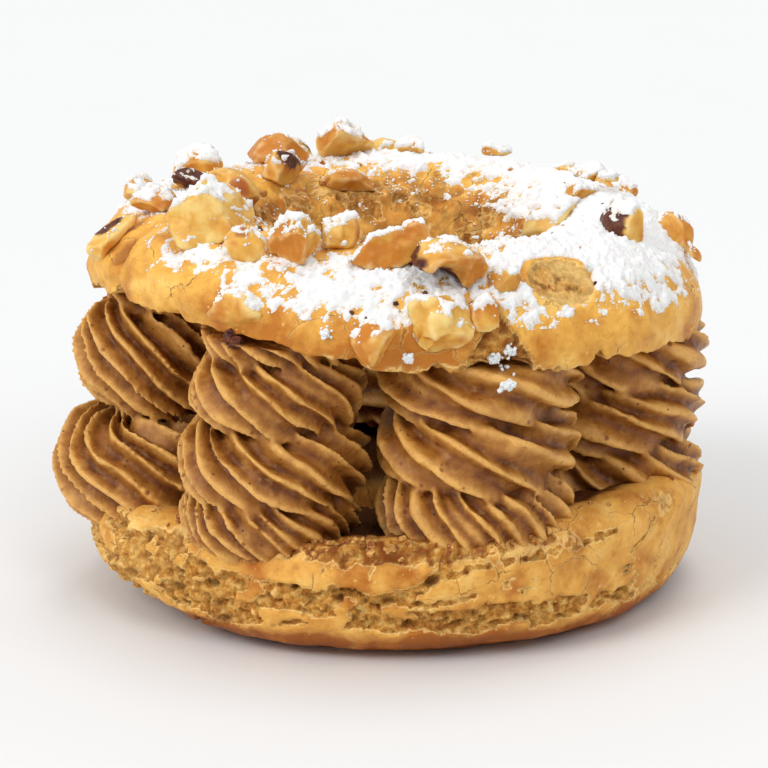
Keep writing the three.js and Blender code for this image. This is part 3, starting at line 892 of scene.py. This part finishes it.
def rope_points(spec, middle, inward, seed):
    """Sections of one star-shaped rope that coils up tier by tier and turns as it goes."""
    tiers = np.array(spec["tiers"])
    length = 2 * math.pi * tiers[:, 1].mean() * len(tiers)
    steps = int(length / ROPE_STEP)
    laps = np.linspace(-0.08, len(tiers) - 0.1, steps)
    level = np.clip(laps - 0.5, 0, len(tiers) - 1)
    below = np.floor(level).astype(int)
    above = np.minimum(below + 1, len(tiers) - 1)
    share = smoothstep(0.32, 0.68, level - below)[:, None]
    height, coil, rope, steep = (tiers[below] * (1 - share) + tiers[above] * share).T
    turn = inward + 2 * math.pi * laps
    end = np.minimum(laps - laps[0], laps[-1] - laps) * length / len(tiers)
    along = np.stack([laps * 6, 0 * laps, 0 * laps], axis=1)
    rope = rope * (1 + 0.09 * perlin(along, 2.0, seed + 7)) * np.sqrt(np.clip(end / 5.0, 0.02, 1))
    out = np.stack([np.cos(turn), np.sin(turn), np.zeros(steps)], axis=1)

    section = np.linspace(0, 2 * math.pi, ROPE_POINTS, endpoint=False)
    slip = np.cumsum(steep * ROPE_STEP / tiers[:, 2].mean())[:, None]
    turned = section + slip
    run = np.broadcast_to(np.arange(steps)[:, None] * ROPE_STEP, turned.shape)
    place = np.stack([run, 9 * np.cos(turned), 9 * np.sin(turned)], axis=2).reshape(-1, 3)
    wander = 0.3 * perlin(place, 8.0, seed + 1).reshape(steps, -1)
    wave = 0.5 + 0.5 * np.cos(spec["ridges"] * (turned + wander) + spec["phase"])
    strength = 0.95 + 0.5 * perlin(place, 6.0, seed + 2).reshape(steps, -1)
    furrow = RIDGE_DEPTH * np.clip(strength, 0.35, 1.3) * (1 - wave**2.6)
    size = rope[:, None] * (1 - furrow)
    points = np.array([*middle[:2], 0.0]) + out[:, None] * coil[:, None, None]
    points = points + out[:, None] * (size * np.cos(section))[:, :, None]
    lean = (height[:, None] - 20) * spec.get("lean", 0.0)
    points[:, :, 0] += lean + spec.get("shift", 0.0)
    points[:, :, 2] += height[:, None] + size * np.sin(section) * spec["tall"]
    return points


def rope_mesh(name, points):
    """A closed rope from its sections, with flat ends."""
    steps = len(points)
    j = np.arange(ROPE_POINTS)
    k = (j + 1) % ROPE_POINTS
    last = (steps - 1) * ROPE_POINTS
    first_middle, last_middle = np.full((2, ROPE_POINTS), steps * ROPE_POINTS) + [[0], [1]]
    caps = [np.stack([first_middle, j, k], 1), np.stack([last_middle, last + k, last + j], 1)]
    rows = np.arange(steps - 1)[:, None] * ROPE_POINTS
    sides = [rows + j, rows + ROPE_POINTS + j, rows + ROPE_POINTS + k, rows + k]
    sides = np.stack(sides, axis=2).reshape(-1, 4)
    ends = np.stack([points[0].mean(axis=0), points[-1].mean(axis=0)])
    points = np.concatenate([points.reshape(-1, 3), ends])
    return make_mesh(name, points, np.concatenate([sides[:, :3], sides[:, [0, 2, 3]], *caps]))


def lid_under(points, tilt):
    """Height of the lid's flat underside over each point."""
    up = tilt[:, 2]
    corners = read_points(cad_mesh("lid_choux"))
    level = np.percentile((corners - CENTRE) @ up, 8)
    flat = points - CENTRE
    return (level - flat[:, 0] * up[0] - flat[:, 1] * up[1]) / up[2]


def make_swirl(name, material, tilt, seed):
    spec = SWIRLS[name]
    low, high = (np.array(corner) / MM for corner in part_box(name))
    middle = (low + high) / 2
    away = middle - CENTRE
    inward = math.atan2(-away[1], -away[0])
    piece = rope_mesh(name + "_piped", rope_points(spec, middle, inward, seed))
    skin = remesh(piece, spec["voxel"])
    edges = read_edges(skin)
    points = relax(read_points(skin), edges, 1)
    write_points(skin, points)
    normals = read_normals(skin)
    soft = relax(points, edges, 12, 0.6)
    ridge = ((points - soft) * normals).sum(axis=1)
    crest = smoothstep(-0.3, 0.36, ridge)
    tug = fbm(points, 1.8, seed, 3)
    torn = smoothstep(0.25, 0.6, perlin(points, 6.0, seed + 6)) * crest
    push = 0.22 * fbm(points, 5.0, seed + 5, 2) + (0.07 + 0.25 * torn) * tug
    points = points + normals * push[:, None]
    for axis in range(3):
        points[:, axis] += 0.8 * perlin(points, 9.0, seed + 40 + axis)
    points[:, 2] = np.minimum(points[:, 2], lid_under(points, tilt) + INTO_LID)
    inside = np.hypot(*(points - CENTRE)[:, :2].T) < RING_RADIUS - 1.5
    points[inside, 2] = np.maximum(points[inside, 2], BASE_HIGH[2] - INTO_BASE)
    write_points(skin, points)
    # The crest measure is kept for the cream's painted shade and highlights.
    paint(skin, ridge=crest)
    modified(piece, "DECIMATE", ratio=CREAM_DETAIL)
    finish_piece(piece, "praline_cream", material, name)
    return piece


# ---------------------------------------------------------------- hazelnuts
# What sets a piece apart from its plain solid, by its number. All ways and shifts are in mm:
#   fit: its scale and shift          broken: faces broken off, (way, how far out each lies)
#   hollows: (middle from the heart, radius), where the kernel broke away
#   longer: a way, and how much longer the piece is that way      cuts: chance breaks
#   lumps: height of its lumps        tan: how much browner it is
#   skin: dark skin left on it, (way, share covered)     tip: the way of its red-brown tip
#   sugar: how much more or less sugar than usual lies on it
NUTS = {
    "01": {"skin": ((-0.4, 0.5, 0.8), 0.3), "sugar": -0.6},
    "02": {
        "fit": (1.08, (0.0, 0.0, 0.8)),
        "broken": [((-0.4, -0.8, 0.35), 0.72), ((0.75, -0.4, 0.55), 0.62), ((-0.7, 0.1, 0.75), 0.6)],
        "sugar": 0.15,
    },
    "03": {"tip": (-0.2, -0.5, 0.8), "sugar": -0.45},
    "04": {"fit": (1.12, (0.0, 0.0, 0.6)), "sugar": 0.35},
    "05": {"fit": (1.1, (0.0, 0.0, 0.6)), "sugar": 0.2},
    "06": {
        "fit": (1.1, (0.0, 0.0, 0.5)),
        "broken": [
            ((-0.75, 0.1, 0.65), 0.62),
            ((0.5, 0.0, -0.87), 0.5),
            ((-0.35, 0.0, -0.94), 0.66),
            ((0.1, -1.0, 0.25), 0.8),
        ],
        "cuts": 0,
        "tan": 0.65,
        "sugar": -0.1,
    },
    "07": {
        "hollows": [((-0.8, -3.9, -2.0), 3.3), ((1.0, -4.4, -1.6), 2.4)],
        "skin": ((-0.8, 0.2, -0.7), 0.42),
        "sugar": -0.35,
    },
    "08": {
        "broken": [((-0.7, -0.6, 0.2), 0.72), ((0.1, -0.6, -0.8), 0.75)],
        "hollows": [((3.0, -3.4, 2.6), 2.5), ((-3.2, -3.4, -2.6), 2.3), ((0.2, -4.6, 0.2), 1.6)],
        "lumps": 0.8,
        "sugar": 0.15,
    },
    "10": {"sugar": 0.1},
    "11": {"fit": (0.95, (0.3, 0.9, 0.5)), "longer": ((0.866, -0.5, 0.1), 0.7)},
    "13": {"skin": ((-0.9, -0.3, 0.2), 0.5), "sugar": -0.3},
    "14": {"sugar": -0.3},
    "15": {"sugar": -0.3},
    "21": {"tip": (0.8, 0.4, 0.4)},
    "23": {"skin": ((0.4, 0.9, 0.1), 0.5)},
    "25": {"sugar": -0.15},
    "27": {"skin": ((-0.2, 0.7, 0.7), 0.4)},
    "28": {"tip": (0.1, 0.8, 0.5)},
    "29": {"tan": 0.65, "sugar": -0.45},
    "30": {"skin": ((0.6, -0.2, 0.8), 0.28)},
    "31": {"tan": 0.65, "sugar": -0.3},
    "32": {"sugar": 0.3},
    "33": {"tip": (0.3, -0.9, 0.2), "sugar": -0.5},
    "34": {"skin": ((0.2, -0.6, 0.6), 0.9), "sugar": -0.6},
}
USUAL_FIT = (1.06, (0.0, 0.0, 0.3))
USUAL_CUTS = 6
LARGE_NUT = 8.0  # mm; above this a piece gets the coarser of the two skins
FINE_VOXEL, COARSE_VOXEL = 0.27, 0.36
NUT_DETAIL = 0.6  # share of the skin's triangles that is kept


def nut_look(name):
    """What sets the piece of this node, or of the visual piece made from it, apart."""
    return NUTS.get(name.split("_")[1], {})


def chips(points, size, seed):
    """Relief of small flat breaks, each tilted its own way."""
    nearest = np.full(len(points), np.inf)
    relief = np.zeros(len(points))
    for cell, away in near_centres(points, size, seed):
        gap = (away**2).sum(axis=1)
        lean = chances(cell, seed, 211) - 0.5
        nearer = gap < nearest
        nearest = np.where(nearer, gap, nearest)
        relief = np.where(nearer, (away * lean).sum(axis=1) + 0.3 * lean[:, 0], relief)
    return relief


def direction(way):
    return np.array(way) / np.linalg.norm(way)


def pressed(points, middle, way, share):
    """The points with everything beyond a plane pressed onto it; share 1 touches the farthest."""
    far = (points - middle) @ way
    return points - np.maximum(far - far.max() * share, 0)[:, None] * way


def chopped(points, seed, cuts):
    """The points with everything beyond a few chance planes pressed onto them."""
    middle = (points.max(axis=0) + points.min(axis=0)) / 2
    for cut in range(cuts):
        cell = np.array([[seed, cut, 17]])
        way = direction(chances(cell, 300, 1)[0] - 0.5)
        points = pressed(points, middle, way, 0.58 + 0.3 * unit(cell, 310)[0])
    return points


def broken_nut(points, edges, look, seed):
    """The rounded solid with the piece's own scale, breaks, length, chops and hollows."""
    heart = points.mean(axis=0)
    scale, shift = look.get("fit", USUAL_FIT)
    points = heart + (relax(points, edges, 2) - heart) * scale + shift
    for way, share in look.get("broken", []):
        points = pressed(points, heart, direction(way), share)
    if "longer" in look:
        way, more = look["longer"]
        points = points + more * ((points - heart) @ way)[:, None] * np.array(way)
    points = chopped(points, seed, look.get("cuts", USUAL_CUTS))
    for offset, radius in look.get("hollows", []):
        away = points - heart - offset
        reach = np.linalg.norm(away, axis=1)[:, None]
        points = points + away / reach * np.maximum(radius - reach, 0)
    return points


def covered(ways, towards, start, end, ragged):
    """1 where the ways look towards a direction, with a ragged border."""
    return smoothstep(start, end, ways @ direction(towards) + ragged)


def make_nut(name, material, seed):
    look = nut_look(name)
    source = cad_mesh(name)
    corners = read_points(source)
    piece = make_mesh(name + "_chopped", corners, np.array([f.vertices[:] for f in source.polygons]))
    size = (corners.max(axis=0) - corners.min(axis=0)).max()
    skin = remesh(piece, COARSE_VOXEL if size > LARGE_NUT else FINE_VOXEL)
    edges = read_edges(skin)
    points = broken_nut(read_points(skin), edges, look, seed)
    write_points(skin, points)
    coarse = min(1.6, size / 9)
    push = 0.15 + 0.35 * coarse * chips(points, 3.8 * coarse, seed)
    push += look.get("lumps", 0.3) * fbm(points, 3.8, seed + 1, 2)
    points = relax(points + read_normals(skin) * push[:, None], edges, 1)
    write_points(skin, points)
    normals = read_normals(skin)
    soft = relax(points, edges, 10, 0.6)
    # The sharp edges, which get a painted highlight; they also pull the tone towards the pale colour.
    edge = smoothstep(0.04, 0.2, ((points - soft) * normals).sum(axis=1))
    points = points + normals * (0.06 * fbm(points, 0.9, seed + 3, 2))[:, None]
    write_points(skin, points)

    ways = points - points.mean(axis=0)
    ways /= np.linalg.norm(ways, axis=1)[:, None]
    tear = 0.35 * fbm(points, 2.2, seed + 9, 3)
    husk = tip = np.zeros(len(points))
    if "skin" in look:
        towards, share = look["skin"]
        husk = covered(ways, towards, 1 - 1.6 * share, 1.1 - 1.6 * share, tear)
    if "tip" in look:
        tip = covered(ways, look["tip"], 0.84, 0.95, 0.15 * tear)
    shade = unit(np.array([[seed, 3, 5]]), 77)[0]
    round_side = unit(np.array([[seed, 9, k] for k in range(3)]), 78) - 0.5
    outside = smoothstep(-0.2, 0.4, normals @ direction(round_side))
    toast = 0.55 * smoothstep(0.45, 0.75, tear * 2) * outside
    tone = 0.1 + 0.45 * shade + 0.45 * outside - 0.3 * edge + look.get("tan", 0.0)
    paint(skin, tone=tone, edge=edge, toast=np.maximum(0.85 * tip, toast), skin=husk)
    modified(piece, "DECIMATE", ratio=NUT_DETAIL)
    finish_piece(piece, "hazelnut", material, name)
    return piece


# ---------------------------------------------------------------- icing sugar
# Thick and bare places on the lid: (angle, radius, size along, size across, amount).
SUGAR_PATCHES = [
    (-20, 34, 26, 13, 0.95),
    (-46, 36, 16, 9, 0.8),
    (-30, 44, 15, 4, 0.5),
    (-5, 43, 9, 4, 0.4),
    (10, 30, 22, 12, 0.75),
    (-90, 42, 13, 7, 0.7),
    (-71, 43, 9, 6, 0.45),
    (-104, 43, 9, 6, 0.72),
    (-133, 44, 9, 3.2, 0.68),
    (-120, 39, 8, 4, 0.6),
    (-150, 36, 12, 6, 0.4),
    (60, 32, 28, 8, 0.75),
    (100, 33, 24, 7, 0.6),
    (165, 38, 16, 6, 0.7),
    (135, 40, 14, 5, 0.4),
    (40, 42, 16, 6, 0.35),
    (-162, 45, 10, 5, -0.6),
    (-129, 46.5, 6, 2.0, -0.5),
    (-119, 46.4, 4.5, 3.6, 0.6),
    (-176, 37, 8, 6, 0.7),
    (-14, 46, 6, 3, -0.4),
]


def sugar_amount(points, slope):
    """How much sugar lies at each point, below 0 where there is none."""
    away = points - CENTRE
    radius = np.hypot(away[:, 0], away[:, 1])
    angle = np.degrees(np.arctan2(away[:, 1], away[:, 0]))
    amount = np.full(len(points), -0.5)
    for place, out, along, across, more in SUGAR_PATCHES:
        u = np.radians(wrapped(angle - place)) * out / along
        v = (radius - out) / across
        amount += more * np.exp(-((u**2 + v**2) ** 1.3))
    amount -= 1.6 * smoothstep(1.08, 0.9, crater_oval(away) + 0.1 * perlin(points, 2.0, 88))
    return amount + 0.5 * (smoothstep(0.1, 0.75, slope) - 0.8)


def ragged_sugar(points):
    """The uneven fall of it: broad drifts, clumps and grains."""
    drift = 0.28 * fbm(points, 8.0, 81, 2)
    clumps = 0.5 * fbm(points, 2.4, 82, 2) - 0.45 * smoothstep(0.1, 0.38, perlin(points, 2.2, 87))
    grains = 0.3 * fbm(points, 0.9, 83, 2)
    return drift + clumps + grains


def dusting(points, normals, quads, amount, number):
    """The part of a surface that carries sugar, lifted off it; its border dips below the crust.

    Gives its points, its quads, counted from number on, and how thin it is at each point.
    """
    clods = smoothstep(0.62, 0.1, bubbles(points, 1.7, 84))
    fine = smoothstep(0.6, 0.2, bubbles(points, 0.62, 85))
    depth = np.clip(0.7 * amount, -0.5, 0.35)
    depth += np.clip(amount + 0.3, 0, 0.6) * (0.75 * clods + 0.5 * fine)
    depth += 0.10 * fbm(points, 0.7, 86, 2)
    depth = np.clip(depth - 0.1, -0.35, 1.0)
    wanted = (depth > -0.12)[quads].any(axis=1) & (depth > 0.0)[quads].any(axis=1)
    quads = quads[wanted]
    used = np.unique(quads)
    fresh = np.full(len(points), -1)
    fresh[used] = np.arange(len(used))
    up = normals * 0.75 + np.array([0, 0, 0.25])
    lifted = points + up * depth[:, None]
    thin = smoothstep(0.3, 0.05, depth)
    return lifted[used], fresh[quads] + number, thin[used]


def finer_ball(points, faces):
    """Each triangle of a ball cut into four, with the new corners brought out to the ball."""
    points = list(points)
    middle = {}
    finer = []
    for face in faces:
        mids = []
        for a, b in zip(face, (*face[1:], face[0])):
            key = (min(a, b), max(a, b))
            if key not in middle:
                middle[key] = len(points)
                points.append((points[a] + points[b]) / np.linalg.norm(points[a] + points[b]))
            mids.append(middle[key])
        (a, b, c), (ab, bc, ca) = face, mids
        finer += [(a, ab, ca), (ab, b, bc), (ca, bc, c), (ab, bc, ca)]
    return np.array(points), finer


def round_grain(level):
    """Points and faces of a small ball: 20 faces, or 80 at level 1."""
    gold = (1 + 5**0.5) / 2
    ring = [(-1, gold), (1, gold), (-1, -gold), (1, -gold)]
    points = [(a, b, 0) for a, b in ring] + [(0, a, b) for a, b in ring] + [(b, 0, a) for a, b in ring]
    points = np.array(points, float)
    points /= np.linalg.norm(points, axis=1)[:, None]
    faces = []
    for i, j, k in itertools.combinations(range(12), 3):
        sides = (points[i] - points[j], points[j] - points[k], points[i] - points[k])
        if max(np.linalg.norm(side) for side in sides) < 1.1:
            flip = np.dot(np.cross(points[j] - points[i], points[k] - points[i]), points[i]) < 0
            faces.append((i, k, j) if flip else (i, j, k))
    for _ in range(level):
        points, faces = finer_ball(points, faces)
    return points, np.array(faces)


def grains(places, sizes, level, rough, seed):
    """Points and triangles of many small uneven lumps; sizes are radii in mm."""
    ball, faces = round_grain(level)
    chance = np.random.default_rng(seed)
    count = len(places)
    turns, _ = np.linalg.qr(chance.normal(size=(count, 3, 3)))
    stretch = chance.uniform(0.65, 1.25, size=(count, 1, 3))
    bumps = 1 + rough * chance.uniform(-1, 1, size=(count, len(ball), 1))
    points = (ball[None] * bumps * stretch) @ turns * sizes[:, None, None]
    points = points + places[:, None]
    corners = faces[None] + np.arange(count)[:, None, None] * len(ball)
    return points.reshape(-1, 3), corners.reshape(-1, 3)


SUGAR_COLUMNS, SUGAR_ROWS = 700, 114  # how fine the sheet on the lid is
LOOSE_ON_LID = 2000
LOOSE_ON_NUT = 22
STAND_OFF = 0.08  # mm that a loose grain's middle lies above the surface


def at_border(amount):
    """1 where the sugar is just ending."""
    return bell((amount + 0.12) / 0.16)


def sugared_lid(lid, tilt):
    """Points, normals, quads, sugar and chances of a loose grain on the top of the lid."""
    turns = uneven_turns((4, 176, SUGAR_ROWS))
    ring = Ring(tree_of(lid.data), *LID_CORE, turns, SUGAR_COLUMNS, tilt).lay()
    facing = ring.normals @ tilt.T
    amount = sugar_amount(ring.world, facing[:, 2]) + ragged_sugar(ring.world)
    quads = ring.quads()
    quads = quads[np.arange(len(quads)) % SUGAR_ROWS < SUGAR_ROWS - 1]
    return ring.world, facing, quads, amount, at_border(amount) * (facing[:, 2] > 0.12)


def sugared_nut(piece):
    """The same of a piece of nut; its triangles are given as quads with the last corner twice."""
    points, normals = read_points(piece.data), read_normals(piece.data)
    quads = np.array([(*f.vertices, f.vertices[-1])[:4] for f in piece.data.polygons])
    amount = 0.1 + nut_look(piece.name).get("sugar", 0.0)
    amount += 0.4 * (sugar_amount(points, normals[:, 2]) + 0.1)
    amount += 1.2 * (smoothstep(0.2, 0.85, normals[:, 2]) - 0.85)
    amount += 1.2 * ragged_sugar(points + 50)
    return points, normals, quads, amount, at_border(amount) * (normals[:, 2] > 0.05) + 1e-9


def make_sugar(lid, nuts, swirls, tilt, material):
    """Sheets on the lid and nuts, loose grains round them, and lumps fallen on the cream."""
    chance = np.random.default_rng(5)
    sheets, loose = [], []
    count = 0
    for surface in (sugared_lid(lid, tilt), *(sugared_nut(piece) for piece in nuts)):
        points, normals, quads, amount, odds = surface
        sheets.append(dusting(points, normals, quads, amount, count))
        count += len(sheets[-1][0])
        number = min(LOOSE_ON_NUT, len(odds) // 60) if loose else LOOSE_ON_LID
        chosen = chance.choice(len(odds), number, replace=False, p=odds / odds.sum())
        loose.append(points[chosen] + normals[chosen] * STAND_OFF)

    loose = np.concatenate(loose)
    lumps, lump_faces = grains(loose, chance.uniform(0.09, 0.24, len(loose)), 0, 0.25, 6)
    fallen, fallen_faces = fallen_sugar(swirls, lid)
    sheet_points, sheet_quads, thin = (np.concatenate(part) for part in zip(*sheets))
    four = sheet_quads[sheet_quads[:, 2] != sheet_quads[:, 3]]
    faces = [sheet_quads[:, :3], four[:, [0, 2, 3]], lump_faces + count]
    faces.append(fallen_faces + count + len(lumps))
    points = np.concatenate([sheet_points, lumps, fallen])
    piece = make_mesh("icing_sugar", points, np.concatenate(faces))
    paint(piece.data, thin=np.pad(thin, (0, len(points) - len(thin))))
    finish_piece(piece, "lid_crust", material)


# Clumps that fell from the lid: (angle, height, how many grains, how widely they lie in mm).
FALLEN = [
    (-71.0, 43.2, 60, 1.0),
    (-72.5, 46.6, 44, 1.1),
    (-69.5, 47.6, 30, 1.4),
    (-88.0, 47.6, 34, 0.9),
    (-102.0, 51.0, 24, 0.9),
    (-70.0, 45.2, 12, 2.2),
    (40.0, 44.0, 40, 1.5),
    (150.0, 40.0, 30, 1.3),
]


FAR_OUT, FAR_UP = 70, 90  # mm from the ring's axis, and above the table: clear of the pastry
REACH_IN = 40  # how far in from there the front of the pastry is looked for
SIDE_RADIUS = 48  # from the ring's axis to the cream's outer side


def fallen_sugar(swirls, lid):
    """Clumps of grains resting against the cream and the lid's side."""
    trees = [tree_of(piece.data) for piece in (*swirls, lid)]
    chance = np.random.default_rng(8)
    places, sizes = [], []
    for angle, height, count, spread in FALLEN:
        for _ in range(count):
            turn = math.radians(angle) + chance.normal() * spread / 3.0 / SIDE_RADIUS
            z = height + chance.normal() * spread / 3.0
            out = outward(turn)
            start = CENTRE + out * FAR_OUT + [0, 0, z]
            hits = [t.ray_cast(Vector(start), Vector(-out), REACH_IN) for t in trees]
            hits = [h for h in hits if h[0] is not None]
            if hits:
                spot = np.array(min(hits, key=lambda h: h[3])[0])
                places.append(spot + out * chance.uniform(0.0, 0.9))
                sizes.append(chance.uniform(0.2, 0.48))
    return grains(np.array(places), np.array(sizes), 0, 0.3, 9)


# ---------------------------------------------------------------- crumbs
# Chance places all round: (how many, smallest radius, largest radius).
CRUMBS_ON_LID = (48, 24, 45)
CRUMBS_ON_RIM = (30, 43.5, 47)
FLAKES_ON_LID = (12, 26, 44)
# Crumbs at the front of the base: how many, angles (middle, spread) and radii (low, high).
CRUMBS_IN_FRONT = (90, (-92, 22), (43.5, 47.5))
STEEPEST = 0.15  # upward part of a surface's direction, below which crumbs slide off
CRUMB_LIFT = 0.12  # mm


def scattered(tree, spots):
    """Places just off a surface, below each (angle, radius), where it isn't steep."""
    found = []
    for angle, radius in spots:
        start = CENTRE + radius * outward(angle) + [0, 0, FAR_UP]
        spot, normal, _, _ = tree.ray_cast(Vector(start), Vector((0, 0, -1)))
        if spot is not None and normal.z > STEEPEST:
            found.append(np.array(spot) + np.array(normal) * CRUMB_LIFT)
    return np.array(found)


# Dark flakes: chips caught at the lid's lower edge, (shift in mm, radius), and flakes lying on
# the lid's front, (angle, radius of the place).
CAUGHT_AT = (-121, 46.4, 49.0)  # angle, radius and height
CAUGHT = [
    ((0, 0, 0), 1.1),
    ((0.5, -0.3, -0.9), 0.9),
    ((-0.4, -0.1, -1.5), 0.8),
    ((0.3, -0.3, 0.8), 0.7),
]
FRONT_FLAKES = [(-98, 45.6), (-95.5, 46.0), (-90, 44.6), (-99, 42.6), (-84.5, 43.2)]
FRONT_FLAKE = 0.42


def chance_spots(chance, number, low, high):
    """Chance places all round, each (angle, radius)."""
    return [(chance.uniform(-math.pi, math.pi), chance.uniform(low, high)) for _ in range(number)]


def make_crumbs(chance, lid_tree, base_tree, material):
    """Bits of crust and nut on the lid and on the base's rim, more of them at the front."""
    on_lid = scattered(lid_tree, chance_spots(chance, *CRUMBS_ON_LID))
    number, angles, radii = CRUMBS_IN_FRONT
    front = [(math.radians(chance.normal(*angles)), chance.uniform(*radii)) for _ in range(number)]
    on_base = scattered(base_tree, front)
    on_rim = scattered(base_tree, chance_spots(chance, *CRUMBS_ON_RIM))
    places = np.concatenate([on_lid, on_base, on_rim])
    sizes = chance.uniform(0.25, 0.62, len(places))
    piece = make_mesh("pastry_crumbs", *grains(places, sizes, 1, 0.3, 22), smooth=False)
    finish_piece(piece, "base_crust", material)


def make_flakes(chance, lid_tree, material):
    """Flakes of dark nut skin on the lid and at its edge."""
    angle, radius, height = CAUGHT_AT
    edge = CENTRE + radius * outward(math.radians(angle)) + [0, 0, height]
    flakes = scattered(lid_tree, chance_spots(chance, *FLAKES_ON_LID))
    front = scattered(lid_tree, [(math.radians(a), r) for a, r in FRONT_FLAKES])
    places = np.concatenate([edge + np.array([shift for shift, _ in CAUGHT]), front, flakes])
    sizes = [size for _, size in CAUGHT] + [FRONT_FLAKE] * len(front)
    sizes = np.concatenate([sizes, chance.uniform(0.3, 0.6, len(flakes))])
    piece = make_mesh("nut_skin_flakes", *grains(places, sizes, 1, 0.3, 23), smooth=False)
    finish_piece(piece, "hazelnut", material)


# ---------------------------------------------------------------- stage
FLOOR_REACH = 6000.0


def make_floor():
    s = Shader("pale_table", 0.6, 0.15)
    s.connect(Base_Color=s.mix(s.noise(60.0, 2.0), (0.805, 0.811, 0.815), (0.82, 0.826, 0.83)))
    corners = FLOOR_REACH * np.array([[-1, -1, 0], [1, -1, 0], [1, 1, 0], [-1, 1, 0]])
    floor = make_mesh("floor", corners, np.array([[0, 1, 2, 3]]), smooth=False)
    floor.data.materials.append(s.material)


# Wide soft lights from far off: (name, the way each comes from, its width in degrees, strength).
SUNS = [
    ("front left", (-0.75, -0.65, 0.8), 26, 1.05),
    ("front right", (0.35, -0.85, 0.85), 28, 0.6),
    ("top", (0.1, 0.2, 1.0), 24, 0.56),
    ("low left", (-1.0, -0.3, 0.45), 40, 0.42),
]


def make_suns():
    for name, way, width, strength in SUNS:
        light = bpy.data.lights.new(name, "SUN")
        light.angle = math.radians(width)
        light.energy = strength
        placed(name, light).rotation_euler = Vector(way).to_track_quat("Z", "Y").to_euler()


# Brightness of the studio by height, from the horizon to straight above.
STUDIO = [(0.0, 0.92), (0.1, 0.88), (0.24, 0.34), (1.0, 0.9)]


def make_world():
    """A white studio: bright low walls, a dimmer middle and a bright ceiling, less in front."""
    world = bpy.data.worlds.new("studio")
    world.use_nodes = True
    w = Nodes(world.node_tree)
    background = w.tree.nodes["Background"]
    place = w.add("ShaderNodeTexCoord").outputs["Generated"]
    split = w.add("ShaderNodeSeparateXYZ", {0: place}).outputs
    walls = w.ramp(split["Z"], *((height, (level,) * 3) for height, level in STUDIO))
    w.put(walls, background.inputs["Color"])
    w.put(w.remap(split["Y"], -1.0, -0.1, 0.7, 1.0), background.inputs["Strength"])
    bpy.context.scene.world = world


CAMERA_RISE = math.radians(15)
CAMERA_AWAY = 480.0
CAMERA_AIM = np.array([-1.9, 0.0, 30.9])  # what the middle of the picture shows
CAMERA_TARGET = np.array([0.0, 0.0, 32.0])  # what the camera would look at, if it stood squarely
SENSOR = 36.0
FRAME_WIDTH = 121.9  # mm of the pastry that the picture's width takes in


def make_camera():
    data = bpy.data.cameras.new("camera")
    data.sensor_width = SENSOR
    data.lens = SENSOR * CAMERA_AWAY / FRAME_WIDTH
    data.clip_start = 0.01
    data.clip_end = 20.0
    camera = placed("camera", data)
    away = np.array([0, -math.cos(CAMERA_RISE), math.sin(CAMERA_RISE)]) * CAMERA_AWAY
    place = (CENTRE + CAMERA_TARGET + away) * MM
    aim = (CENTRE + CAMERA_AIM) * MM
    camera.location = place
    camera.rotation_euler = Vector(aim - place).to_track_quat("-Z", "Y").to_euler()
    bpy.context.scene.camera = camera


BASE_CRUST = (rgb(248, 206, 120), rgb(234, 174, 82), rgb(184, 108, 34), 0.5)
LID_CRUST = (rgb(252, 212, 124), rgb(240, 182, 84), rgb(192, 118, 38), 0.42)


CREAM_SEED, NUT_SEED, CRUMB_SEED = 200, 400, 21


def main():
    make_camera()
    make_world()
    make_floor()
    make_suns()
    bpy.context.scene.view_settings.view_transform = "Standard"

    tilt = lid_tilt()
    base = make_base(crust_material("base_crust", *BASE_CRUST))
    lid = make_lid(crust_material("lid_crust", *LID_CRUST), tilt)
    cream = cream_material()
    swirls = [
        make_swirl(name, cream, tilt, CREAM_SEED + 17 * k) for k, name in enumerate(SWIRL_NODES)
    ]
    nut = nut_material()
    nuts = [make_nut(name, nut, NUT_SEED + 13 * k) for k, name in enumerate(NUT_NODES)]
    make_sugar(lid, nuts, swirls, tilt, sugar_material())
    chance = np.random.default_rng(CRUMB_SEED)
    lid_tree = tree_of(lid.data)
    crumbs = crumb_material("crumbs", rgb(150, 82, 34), rgb(224, 172, 92))
    make_crumbs(chance, lid_tree, tree_of(base.data), crumbs)
    make_flakes(chance, lid_tree, crumb_material("nut_skin", rgb(58, 24, 16), rgb(122, 62, 34)))


main()
